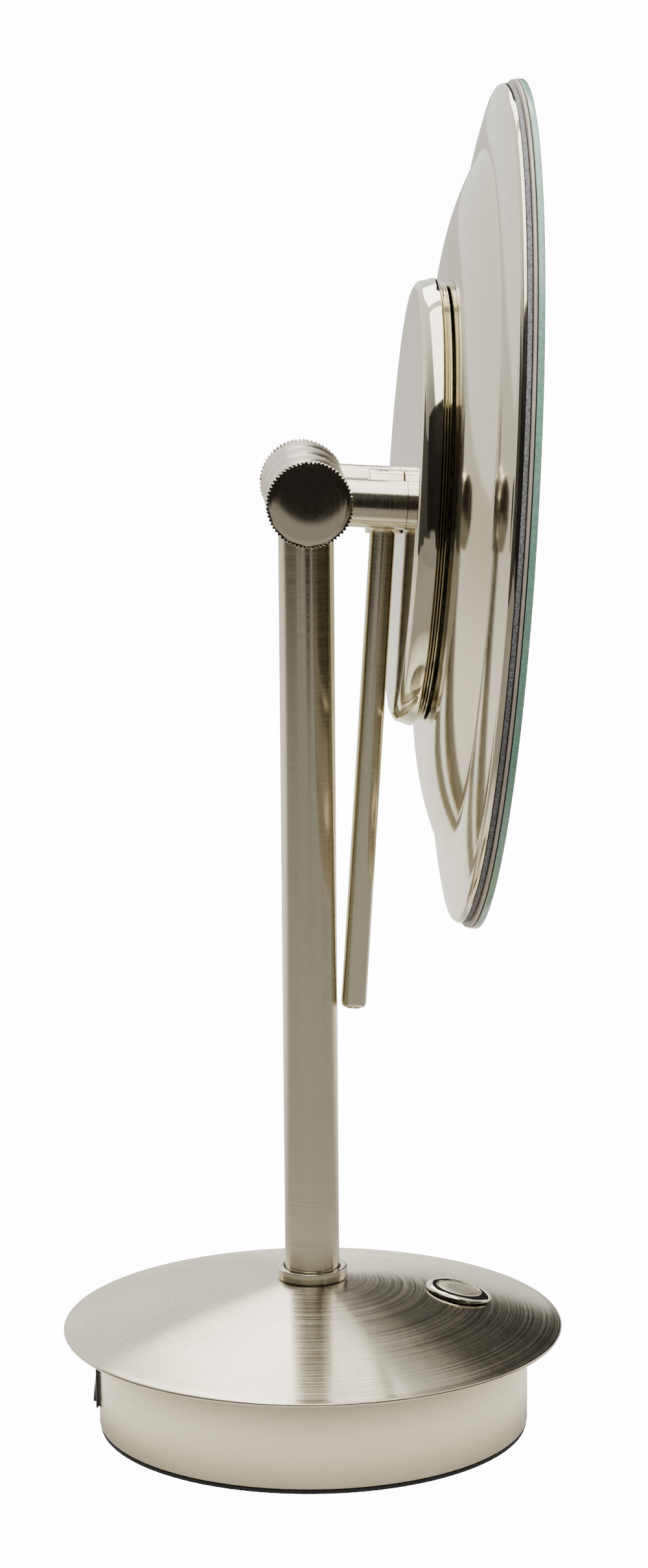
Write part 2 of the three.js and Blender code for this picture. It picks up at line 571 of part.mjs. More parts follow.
function makeStubAndRod() {
  const back = HOUSING_BACK - GAP - STUB_LENGTH;
  const body = forward(turned([
    [0, back], [STUB_RADIUS - GAP, back], [STUB_RADIUS, back + GAP],
    [STUB_RADIUS, HOUSING_BACK - GAP], [0, HOUSING_BACK - GAP],
  ], FINE / 2)).translate(0, 0, -STUB_DROP);
  const socket = disc(ROD_RADIUS + GAP, -2 * STUB_RADIUS - STUB_DROP, -SOCKET_TOP, COARSE)
    .translate(0, -ROD_REACH, 0);
  const thread = forward(disc(SCREW_RADIUS + GAP, HOUSING_BACK - FIXING_DEPTH / 2, HOUSING_BACK, COARSE))
    .translate(0, 0, -STUB_DROP + STUB_RADIUS / 2);
  addTo(head, 'handle_stub', cut(body, socket, thread), BRUSHED_NICKEL);

  const rodTop = -SOCKET_TOP - GAP;
  const tip = -ROD_TIP;
  const rounding = ROD_RADIUS / 3;
  const rod = turned([
    [0, tip], [ROD_RADIUS - rounding, tip], [ROD_RADIUS, tip + rounding], [ROD_RADIUS, rodTop], [0, rodTop],
  ], COARSE).translate(0, -ROD_REACH, 0);
  addTo(head, 'handle_rod', rod, SATIN_NICKEL);
}

function makeHousing() {
  const out = HOUSING_RADIUS + HOUSING_BULGE;
  const bead = HOUSING_FRONT - HOUSING_DEPTH / 4;
  const wall = HOUSING_WALL;
  const shell = onHead(turned([
    [0, HOUSING_BACK], [HOUSING_RADIUS, HOUSING_BACK],
    [HOUSING_RADIUS + HOUSING_BULGE * 0.6, HOUSING_BACK + wall],
    [out, bead - wall], [out - wall / 2, bead - wall / 2], [out, bead], [out, HOUSING_FRONT - wall / 2],
    [out - wall / 2, HOUSING_FRONT], [out - 2 * wall, HOUSING_FRONT],
    [out - 2 * wall, HOUSING_BACK + 2 * wall], [HOUSING_RADIUS - wall, HOUSING_BACK + wall],
    [0, HOUSING_BACK + wall],
  ]));
  const hole = forward(disc(SCREW_RADIUS + GAP, HOUSING_BACK - 1, HOUSING_BACK + 2 * wall, COARSE));
  const holes = fixings.map(({ x, z }) => hole.clone().translate(x, 0, z));
  addTo(head, 'pivot_housing', cut(shell, ...holes), POLISHED_NICKEL);

  for (const { name, x, z, depth } of fixings) {
    const tip = HOUSING_BACK - depth + GAP;
    const under = HOUSING_BACK + wall + GAP;
    const screw = forward(turned([
      [0, tip], [SCREW_RADIUS, tip], [SCREW_RADIUS, under],
      [SCREW_HEAD_RADIUS, under], [SCREW_HEAD_RADIUS, under + SCREW_HEAD], [0, under + SCREW_HEAD],
    ], COARSE)).translate(x, 0, z);
    addTo(head, name, screw, ZINC_STEEL);
  }
}

/** The shell's outer section, from its flat middle over the dome and flange to the rolled rim. */
function shellOutline() {
  const run = SHELL_KINK_RADIUS - SHELL_FLAT_RADIUS;
  const domeArc = (run ** 2 + SHELL_DOME_DEPTH ** 2) / (2 * SHELL_DOME_DEPTH);
  const dome = slopeArc([SHELL_FLAT_RADIUS, SHELL_BACK], domeArc, 0, run / domeArc, 4);
  const startSine = Math.sin(radians(FLANGE_START_SLOPE));
  const flangeRun = SHELL_RADIUS - RIM_RADIUS - SHELL_KINK_RADIUS;
  const flangeRise = FLANGE_DEPTH - RIM_RADIUS;
  const chord = Math.hypot(flangeRun, flangeRise);
  const halfTurn = Math.atan2(flangeRise, flangeRun) - radians(FLANGE_START_SLOPE);
  const flangeArc = chord / (2 * Math.sin(halfTurn));
  const endSine = Math.sin(radians(FLANGE_START_SLOPE) + 2 * halfTurn);
  const flange = slopeArc([SHELL_KINK_RADIUS, SHELL_KINK], flangeArc, startSine, endSine, 3);
  const rim = [[SHELL_RADIUS - RIM_RADIUS / 3, SHELL_FRONT - RIM_RADIUS * 0.7], [SHELL_RADIUS, SHELL_FRONT]];
  return [[0, SHELL_BACK], ...dome, ...flange.slice(1), ...rim];
}

function makeShell() {
  const outer = shellOutline();
  const last = outer.length - 1;
  const inner = outer.map(([radius, z], i) => {
    if (i === last) return [radius - SHELL_WALL, z];
    if (i === last - 1) return [radius - SHELL_WALL, z + SHELL_WALL / 2];
    return [i > 1 ? radius - SHELL_WALL / 3 : radius, z + SHELL_WALL];
  }).reverse();
  addTo(head, 'mirror_shell', onHead(turned([...outer, ...inner])), BRUSHED_NICKEL);
}

function makeGlassStack() {
  const gasketOuter = SHELL_RADIUS - GAP;
  const gasketFront = GASKET_BACK + GASKET_THICKNESS;
  const gasket = onHead(ring(gasketOuter - GASKET_WIDTH, gasketOuter, GASKET_BACK, gasketFront));
  addTo(head, 'rim_gasket', gasket, GREY_FOAM);

  const plate = onHead(disc(GLASS_RADIUS - GAP, PLATE_BACK, PLATE_BACK + PLATE_THICKNESS));
  addTo(head, 'backing_plate', plate, TAUPE_PLATE);
  const glass = onHead(disc(GLASS_RADIUS, GLASS_BACK, GLASS_BACK + GLASS_THICKNESS));
  addTo(head, 'mirror_glass', glass, MIRROR_GLASS);

  const diffuserFront = PLATE_BACK - GAP;
  const diffuserBack = diffuserFront - DIFFUSER_THICKNESS;
  const diffuser = ring(LIGHT_INNER_RADIUS, LIGHT_OUTER_RADIUS, diffuserBack, diffuserFront);
  addTo(head, 'light_diffuser', onHead(diffuser), WHITE_PLASTIC);

  const boardFront = diffuserBack - GAP;
  const boardBack = boardFront - LED_BOARD_THICKNESS;
  const led = ring(LIGHT_INNER_RADIUS + GAP, LIGHT_OUTER_RADIUS - GAP, boardBack, boardFront);
  addTo(head, 'led_board', onHead(led), WHITE_PLASTIC);

  around(SPACER_COUNT, Math.PI / SPACER_COUNT).forEach((angle, i) => {
    const spacer = disc(SPACER_RADIUS, SHELL_BACK + SHELL_WALL + GAP, PLATE_BACK - GAP, COARSE)
      .translate(...polar(SPACER_CIRCLE, angle), 0);
    addTo(head, `plate_spacer_${i + 1}`, onHead(spacer), ZINC_STEEL);
  });
}

// ---- Build --------------------------------------------------------------------------------

makeBaseShells();
makeDome();
makeBallast();
makeBatteries();
makeButton();
makeRocker();
makePost();
makeBarrel();
makeKnobs();
makeArms();
makeStubAndRod();
makeHousing();
makeShell();
makeGlassStack();

export default object;
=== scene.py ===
"""Looks of a lit shaving mirror: a tilting round head on a knurled pivot above a weighted pedestal.

Metres, +Z up, the glass faces -Y, the origin is the middle of the base's underside.
"""
import logging
import math
from dataclasses import dataclass
from enum import Enum

import bpy
from mathutils import Euler, Matrix, Vector


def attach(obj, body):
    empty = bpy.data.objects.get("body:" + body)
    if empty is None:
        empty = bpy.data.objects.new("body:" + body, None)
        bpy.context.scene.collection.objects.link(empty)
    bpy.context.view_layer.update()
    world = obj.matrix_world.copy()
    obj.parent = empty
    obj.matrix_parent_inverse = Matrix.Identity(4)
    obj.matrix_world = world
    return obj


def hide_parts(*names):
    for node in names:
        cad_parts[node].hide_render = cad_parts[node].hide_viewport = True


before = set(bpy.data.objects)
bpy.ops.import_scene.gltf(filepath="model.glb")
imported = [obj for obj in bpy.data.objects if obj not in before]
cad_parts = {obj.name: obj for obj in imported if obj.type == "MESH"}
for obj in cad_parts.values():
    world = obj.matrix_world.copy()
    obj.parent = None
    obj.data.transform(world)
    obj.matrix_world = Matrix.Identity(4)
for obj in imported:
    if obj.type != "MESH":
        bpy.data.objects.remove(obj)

log = logging.getLogger("shaving_mirror")

MM = 0.001
GAP = 0.3
PIVOT_HEIGHT = 276.4
PIVOT = Vector((0.0, 0.0, PIVOT_HEIGHT * MM))
TILT = math.radians(3.8)
HEAD_DROP = 1.0 * MM
ROD_REACH = 22.6

Color = tuple[float, float, float]
Place = tuple[float, float, float]
Profile = list[tuple[float, float]]
Object = bpy.types.Object
Material = bpy.types.Material
Socket = bpy.types.NodeSocket


class Body(Enum):
    """The rigid bodies of the frame."""

    BASE = "base"
    HEAD = "head"
    LEFT_KNOB = "left_knob"
    RIGHT_KNOB = "right_knob"
    BUTTON = "push_button"
    ROCKER = "switch_rocker"


class Space(Enum):
    """The frame whose axis a material's brushing runs round."""

    POST = "post"
    PIVOT = "pivot"
    HEAD = "head"
    BUTTON = "button"
    ROD = "rod"


# ---- Placing ------------------------------------------------------------------------------


def head_matrix() -> Matrix:
    """Gives the place of the tilted head.

    Returns:
        Matrix: from the head's own axes to the object's.
    """
    return Matrix.Translation(PIVOT) @ Matrix.Rotation(TILT, 4, "X")


def forward_matrix(drop: float = HEAD_DROP) -> Matrix:
    """Lays a piece made along +Z so that it points out through the glass.

    Args:
        drop: how far its axis lies below the pivot's.

    Returns:
        Matrix: from the piece's own axes to the object's.
    """
    return head_matrix() @ Matrix.Translation((0, 0, -drop)) @ Matrix.Rotation(math.pi / 2, 4, "X")


def across_matrix(side: int = 1) -> Matrix:
    """Lays a piece made along +Z along the pivot, outward on the given side.

    Args:
        side: 1 for the right-hand side, -1 for the left.

    Returns:
        Matrix: from the piece's own axes to the object's.
    """
    return Matrix.Translation(PIVOT) @ Matrix.Rotation(side * math.pi / 2, 4, "Y")


def rod_matrix() -> Matrix:
    """Gives the place of the handle rod, square to the tilted head.

    Returns:
        Matrix: from the rod's own axes to the object's.
    """
    return head_matrix() @ Matrix.Translation((0, -ROD_REACH * MM, 0))


def space_matrix(space: Space) -> Matrix:
    """Gives the axes whose Z a material's brushing runs round.

    Args:
        space: the kind of piece.

    Returns:
        Matrix: from the turned piece's own axes to the object's.
    """
    places = {
        Space.POST: Matrix.Identity(4),
        Space.PIVOT: across_matrix(),
        Space.HEAD: forward_matrix(),
        Space.BUTTON: button_matrix(),
        Space.ROD: rod_matrix(),
    }
    return places[space]


# ---- Modelling ----------------------------------------------------------------------------


def deselect() -> None:
    """Leaves object mode with nothing selected."""
    if bpy.context.object and bpy.context.object.mode != "OBJECT":
        bpy.ops.object.mode_set(mode="OBJECT")
    bpy.ops.object.select_all(action="DESELECT")


def activate(obj: Object) -> None:
    """Makes one object the only selected one.

    Args:
        obj: the object.
    """
    deselect()
    obj.select_set(True)
    bpy.context.view_layer.objects.active = obj


def outward(obj: Object) -> None:
    """Merges doubled corners and turns every face outward.

    Args:
        obj: the piece.
    """
    activate(obj)
    bpy.ops.object.mode_set(mode="EDIT")
    bpy.ops.mesh.select_all(action="SELECT")
    bpy.ops.mesh.remove_doubles(threshold=1e-7)
    bpy.ops.mesh.normals_make_consistent(inside=False)
    bpy.ops.object.mode_set(mode="OBJECT")


def smooth(obj: Object, degrees: float = 32.0) -> None:
    """Shades gentle edges smooth and leaves the sharper ones crisp.

    Args:
        obj: the piece.
        degrees: an edge sharper than this stays crisp.
    """
    activate(obj)
    bpy.ops.object.shade_smooth_by_angle(angle=math.radians(degrees))


def place(obj: Object, matrix: Matrix) -> None:
    """Moves a piece and applies the move, so that its own axes stay the object's.

    Args:
        obj: the piece, made at the origin.
        matrix: where it goes.
    """
    activate(obj)
    obj.matrix_world = matrix
    bpy.ops.object.transform_apply(location=True, rotation=True, scale=True)


def soften(obj: Object, width: float, steps: int = 3, degrees: float = 34.0) -> None:
    """Rounds the sharp edges of a piece.

    Args:
        obj: the piece.
        width: the rounding's size in metres.
        steps: how many facets each rounding has.
        degrees: an edge sharper than this is rounded.
    """
    activate(obj)
    bpy.ops.object.mode_set(mode="EDIT")
    bpy.ops.mesh.select_mode(type="EDGE")
    bpy.ops.mesh.select_all(action="DESELECT")
    bpy.ops.mesh.edges_select_sharp(sharpness=math.radians(degrees))
    bpy.ops.mesh.bevel(offset=width, segments=steps, affect="EDGES", clamp_overlap=True)
    bpy.ops.object.mode_set(mode="OBJECT")


def turn(name: str, profile: Profile, sides: int = 128, rounding: float = 0.0) -> Object:
    """Turns a solid about +Z by extruding and scaling a ring along a section.

    Args:
        name: the piece's name.
        profile: radius and height in millimetres. It starts and ends on the axis, or closes on itself.
        sides: how many sides a ring has.
        rounding: size of the rounding on its sharp edges, in millimetres.

    Returns:
        Object: the closed piece, at the origin.
    """
    solid = profile[0][0] == 0
    ring = profile[1:-1] if solid else profile + [profile[0]]
    (radius, height), rest = ring[0], ring[1:]
    deselect()
    bpy.ops.mesh.primitive_circle_add(
        vertices=sides, radius=radius * MM, location=(0, 0, 0), fill_type="NGON" if solid else "NOTHING")
    obj = bpy.context.object
    obj.name = obj.data.name = name
    bpy.ops.object.mode_set(mode="EDIT")
    bpy.ops.mesh.select_mode(type="EDGE")
    bpy.ops.mesh.select_all(action="SELECT")
    bpy.ops.transform.translate(value=(0, 0, height * MM))
    if solid:
        bpy.ops.mesh.region_to_loop()
    for next_radius, next_height in rest:
        bpy.ops.mesh.extrude_edges_move(
            TRANSFORM_OT_translate={"value": (0, 0, (next_height - height) * MM)})
        scale = next_radius / radius
        bpy.ops.transform.resize(value=(scale, scale, 1), center_override=(0, 0, next_height * MM))
        radius, height = next_radius, next_height
    if solid:
        bpy.ops.mesh.edge_face_add()
    bpy.ops.object.mode_set(mode="OBJECT")
    outward(obj)
    if rounding:
        soften(obj, rounding * MM)
    smooth(obj)
    return obj


def rod(name: str, radius: float, low: float, high: float, sides: int = 96,
        rounding: float = 0.0) -> Object:
    """Makes a round bar along +Z, in millimetres.

    Args:
        name: the piece's name.
        radius: its radius.
        low: the height of its lower end.
        high: the height of its upper end.
        sides: how many sides it has.
        rounding: size of the rounding on its ends.

    Returns:
        Object: the closed piece.
    """
    return turn(name, [(0, low), (radius, low), (radius, high), (0, high)], sides, rounding)


def tube(name: str, inner: float, outer: float, low: float, high: float, sides: int = 128,
         rounding: float = 0.0) -> Object:
    """Makes a tube along +Z, in millimetres.

    Args:
        name: the piece's name.
        inner: its inner radius.
        outer: its outer radius.
        low: the height of its lower end.
        high: the height of its upper end.
        sides: how many sides it has.
        rounding: size of the rounding on its edges.

    Returns:
        Object: the closed piece.
    """
    return turn(name, [(inner, low), (outer, low), (outer, high), (inner, high)], sides, rounding)


def block(name: str, low: Place, high: Place, rounding: float = 0.0) -> Object:
    """Makes a box between two corners, in millimetres.

    Args:
        name: the piece's name.
        low: its lowest corner.
        high: its highest corner.
        rounding: size of the rounding on its edges.

    Returns:
        Object: the closed piece.
    """
    deselect()
    middle = [(a + b) / 2 * MM for a, b in zip(low, high)]
    bpy.ops.mesh.primitive_cube_add(size=1, location=middle)
    obj = bpy.context.object
    obj.name = obj.data.name = name
    obj.scale = [(b - a) * MM for a, b in zip(low, high)]
    bpy.ops.object.transform_apply(location=True, rotation=True, scale=True)
    if rounding:
        soften(obj, rounding * MM)
    smooth(obj)
    return obj


def combine(obj: Object, other: Object, how: str) -> None:
    """Cuts one piece with another or joins it on, and removes the tool.

    Args:
        obj: the piece that stays.
        other: the tool.
        how: the boolean operation.
    """
    activate(obj)
    modifier = obj.modifiers.new("shape", "BOOLEAN")
    modifier.operation = how
    modifier.solver = "EXACT"
    modifier.object = other
    bpy.ops.object.modifier_apply(modifier=modifier.name)
    mesh = other.data
    bpy.data.objects.remove(other)
    bpy.data.meshes.remove(mesh)
    outward(obj)
    smooth(obj)


def arc(start: tuple[float, float], radius: float, from_sine: float, to_sine: float,
        steps: int) -> Profile:
    """Works out points of an arc in section, in millimetres.

    Args:
        start: radius and height of its first point.
        radius: the arc's own radius.
        from_sine: sine of its slope at the start.
        to_sine: sine of its slope at the end.
        steps: how many stretches it has.

    Returns:
        Profile: the points, the first and last among them.
    """
    level = math.sqrt(1 - from_sine ** 2)
    points = []
    for i in range(steps + 1):
        sine = from_sine + (to_sine - from_sine) * i / steps
        rise = radius * (level - math.sqrt(1 - sine ** 2))
        points.append((start[0] + radius * (sine - from_sine), start[1] + rise))
    return points


def hand_over(obj: Object, body: Body, slot: str, material: Material, *nodes: str) -> None:
    """Gives a finished piece its material, its body and the frame nodes it stands for.

    Args:
        obj: the piece.
        body: the body it rides on.
        slot: the name of its finish; not used.
        material: its material.
        nodes: the frame nodes it replaces.
    """
    obj.data.materials.clear()
    obj.data.materials.append(material)
    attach(obj, body.value)
    if nodes:
        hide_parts(*nodes)
    log.info("%s on %s: %d faces", obj.name, body.value, len(obj.data.polygons))


# ---- Materials ----------------------------------------------------------------------------


class Graph:
    """A short way to write one material's nodes."""

    def __init__(self, name: str) -> None:
        """Starts an empty material.

        Args:
            name: the material's name.
        """
        self.material = bpy.data.materials.new(name)
        self.material.use_nodes = True
        self.tree = self.material.node_tree
        self.tree.nodes.clear()
        self.output = self.tree.nodes.new("ShaderNodeOutputMaterial")

    def node(self, kind: str, **values: object) -> bpy.types.Node:
        """Adds a node, setting its properties and its inputs' constant values by name.

        Args:
            kind: the node's type, without its prefix.
            values: properties and inputs, with _ for a blank.

        Returns:
            Node: the new node.
        """
        made = self.tree.nodes.new("ShaderNode" + kind)
        for key, value in values.items():
            if hasattr(made, key):
                setattr(made, key, value)
            else:
                made.inputs[key.replace("_", " ")].default_value = value
        return made

    def link(self, out: Socket, into: Socket) -> None:
        """Joins an output socket to an input socket.

        Args:
            out: where the value comes from.
            into: where it goes.
        """
        self.tree.links.new(out, into)

    def math(self, operation: str, first: Socket | float, second: Socket | float | None = None,
             clamp: bool = False) -> Socket:
        """Adds a math node.

        Args:
            operation: what it does.
            first: its first value.
            second: its second value, where it has one.
            clamp: whether to hold the result between 0 and 1.

        Returns:
            Socket: the result.
        """
        made = self.node("Math", operation=operation, use_clamp=clamp)
        for socket, value in zip(made.inputs, (first, second)):
            if isinstance(value, (int, float)):
                socket.default_value = value
            elif value is not None:
                self.link(value, socket)
        return made.outputs[0]

    def vector(self, operation: str, first: Socket | Place, second: Socket | Place | None = None,
               scale: float | None = None) -> Socket:
        """Adds a vector math node.

        Args:
            operation: what it does.
            first: its first vector.
            second: its second vector, where it has one.
            scale: the factor of a SCALE node.

        Returns:
            Socket: the result.
        """
        made = self.node("VectorMath", operation=operation)
        for socket, value in zip(made.inputs, (first, second)):
            if isinstance(value, tuple):
                socket.default_value = value
            elif value is not None:
                self.link(value, socket)
        if scale is not None:
            made.inputs["Scale"].default_value = scale
        return made.outputs["Value"] if operation in ("LENGTH", "DOT_PRODUCT") else made.outputs[0]

    def noise(self, coordinates: Socket, scale: float, detail: float = 3.0, rough: float = 0.55) -> Socket:
        """Adds a noise texture.

        Args:
            coordinates: where it is read.
            scale: its fineness.
            detail: how many finer layers it has.
            rough: how strong the finer layers are.

        Returns:
            Socket: its value.
        """
        made = self.node("TexNoise", Scale=scale, Detail=detail, Roughness=rough)
        self.link(coordinates, made.inputs["Vector"])
        return made.outputs["Fac"]

    def ramp(self, value: Socket, *stops: tuple[float, Color]) -> Socket:
        """Adds a colour ramp.

        Args:
            value: what is looked up.
            stops: places and colours, in order.

        Returns:
            Socket: the colour.
        """
        made = self.node("ValToRGB")
        elements = made.color_ramp.elements
        while len(elements) < len(stops):
            elements.new(0.5)
        for element, (where, color) in zip(elements, stops):
            element.position = where
            element.color = (*color, 1.0)
        self.link(value, made.inputs["Fac"])
        return made.outputs["Color"]

    def spread(self, value: Socket, low: float, high: float, start: float = 0.0, end: float = 1.0) -> Socket:
        """Maps a value from one range to another, held at its ends.

        Args:
            value: the value.
            low: the result at the start.
            high: the result at the end.
            start: where the first range starts.
            end: where it ends.

        Returns:
            Socket: the result.
        """
        made = self.node("MapRange", clamp=True)
        for key, number in (("From Min", start), ("From Max", end), ("To Min", low), ("To Max", high)):
            made.inputs[key].default_value = number
        self.link(value, made.inputs["Value"])
        return made.outputs["Result"]

    def mix(self, factor: Socket | float, first: Socket | Color, second: Socket | Color,
            blend: str = "MIX") -> Socket:
        """Mixes two colours.

        Args:
            factor: how much of the second is used.
            first: the first colour.
            second: the second colour.
            blend: how they are mixed.

        Returns:
            Socket: the mixed colour.
        """
        made = self.node("Mix", data_type="RGBA", blend_type=blend)
        sockets = [made.inputs[i] for i in (0, 6, 7)]
        for socket, value in zip(sockets, (factor, first, second)):
            if isinstance(value, (int, float)):
                socket.default_value = value
            elif isinstance(value, tuple):
                socket.default_value = (*value, 1.0)
            else:
                self.link(value, socket)
        return made.outputs[2]

    def local(self, space: Space) -> Socket:
        """Gives a point's place in millimetres in axes whose Z is the turned piece's axis.

        Args:
            space: the kind of piece.

        Returns:
            Socket: the place.
        """
        place_node = self.node("TexCoord").outputs["Object"]
        turned = self.node("Mapping", vector_type="TEXTURE")
        matrix = space_matrix(space)
        turned.inputs["Location"].default_value = matrix.to_translation()
        turned.inputs["Rotation"].default_value = matrix.to_euler()
        self.link(place_node, turned.inputs["Vector"])
        return self.vector("SCALE", turned.outputs[0], scale=1000.0)

    def around(self, space: Space) -> Socket:
        """Gives the direction round the piece's axis at each point, in the world's axes.

        Args:
            space: the kind of piece.

        Returns:
            Socket: the direction, not of unit length.
        """
        matrix = space_matrix(space)
        place_node = self.node("TexCoord").outputs["Object"]
        arm = self.vector("SUBTRACT", place_node, tuple(matrix.to_translation()))
        circle = self.vector("CROSS_PRODUCT", arm, tuple(matrix.to_3x3().col[2]))
        turned = self.node("VectorTransform", vector_type="VECTOR", convert_from="OBJECT", convert_to="WORLD")
        self.link(circle, turned.inputs[0])
        return turned.outputs[0]

    def principled(self, **values: object) -> bpy.types.Node:
        """Adds the surface shader and joins it to the output.

        Args:
            values: its constant inputs by name, with _ for a blank.

        Returns:
            Node: the shader.
        """
        shader = self.node("BsdfPrincipled")
        for key, value in values.items():
            shader.inputs[key.replace("_", " ")].default_value = value
        self.link(shader.outputs[0], self.output.inputs["Surface"])
        return shader

    def bump(self, height: Socket, strength: float, distance: float = 0.0001) -> Socket:
        """Adds a bump node.

        Args:
            height: the height at each point.
            strength: how strong it is.
            distance: how deep a height of 1 is, in metres.

        Returns:
            Socket: the bumped normal.
        """
        made = self.node("Bump", Strength=strength, Distance=distance)
        self.link(height, made.inputs["Height"])
        return made.outputs[0]


@dataclass(frozen=True)
class MetalFinish:
    """A metal surface: its tint, how it is brushed and how worn it is."""

    name: str
    color: Color
    roughness: float
    grain: float = 0.0
    stretch: float = 0.0
    wear: float = 0.03
    patch: float = 0.02


NICKEL = (0.63, 0.58, 0.45)
PALE_NICKEL = (0.67, 0.625, 0.49)
STEEL = (0.62, 0.63, 0.64)
BRUSHED = MetalFinish("brushed_nickel", NICKEL, 0.2, grain=0.12, stretch=0.7)
KNOB = MetalFinish("knob_nickel", NICKEL, 0.11, grain=0.08)
SHELL = MetalFinish("shell_nickel", NICKEL, 0.09, grain=0.06, stretch=0.35)
DOME = MetalFinish("dome_nickel", NICKEL, 0.21, grain=0.07, stretch=0.95, patch=0.13)
DRUM = MetalFinish("drum_nickel", PALE_NICKEL, 0.24, grain=0.03, stretch=0.4)
SATIN = MetalFinish("satin_nickel", PALE_NICKEL, 0.17, grain=0.1, stretch=0.7)
BUTTON = MetalFinish("button_nickel", PALE_NICKEL, 0.36, grain=0.05)
POLISHED = MetalFinish("polished_nickel", PALE_NICKEL, 0.06, grain=0.02, wear=0.02)
ZINC = MetalFinish("zinc_steel", STEEL, 0.42, grain=0.1, wear=0.1)


@dataclass(frozen=True)
class PlainFinish:
    """A moulded, painted, cast or rubber surface: its colour, its sheen and its grain per metre."""

    name: str
    color: Color
    roughness: float
    bump: float = 0.1
    scale: float = 900.0
    vary: float = 0.12
    metallic: float = 0.0


RUBBER = PlainFinish("black_rubber", (0.018, 0.018, 0.018), 0.75, 0.35, 1400.0)
BLACK_PLASTIC = PlainFinish("black_plastic", (0.012, 0.012, 0.013), 0.3, 0.08, 1800.0)
TAUPE = PlainFinish("taupe_plate", (0.45, 0.4, 0.34), 0.5, 0.1, 1200.0)
CIRCUIT_BOARD = PlainFinish("circuit_board", (0.02, 0.1, 0.05), 0.4, 0.2, 1500.0)
CAST_IRON = PlainFinish("cast_iron", (0.07, 0.07, 0.072), 0.65, 0.6, 700.0, 0.3, 0.8)
BATTERY_SLEEVE = PlainFinish("battery_sleeve", (0.05, 0.08, 0.16), 0.35, 0.05, 900.0)
DOOR_PLASTIC = PlainFinish("door_plastic", (0.02, 0.02, 0.02), 0.45, 0.3, 1600.0)
WASHER_PLASTIC = PlainFinish("washer_plastic", (0.03, 0.03, 0.03), 0.55, 0.2, 1500.0)
WHITE_BOARD = PlainFinish("white_board", (0.78, 0.78, 0.76), 0.5, 0.1, 1500.0)
FROSTED_RING = PlainFinish("frosted_ring", (0.85, 0.85, 0.83), 0.55, 0.1, 1300.0)


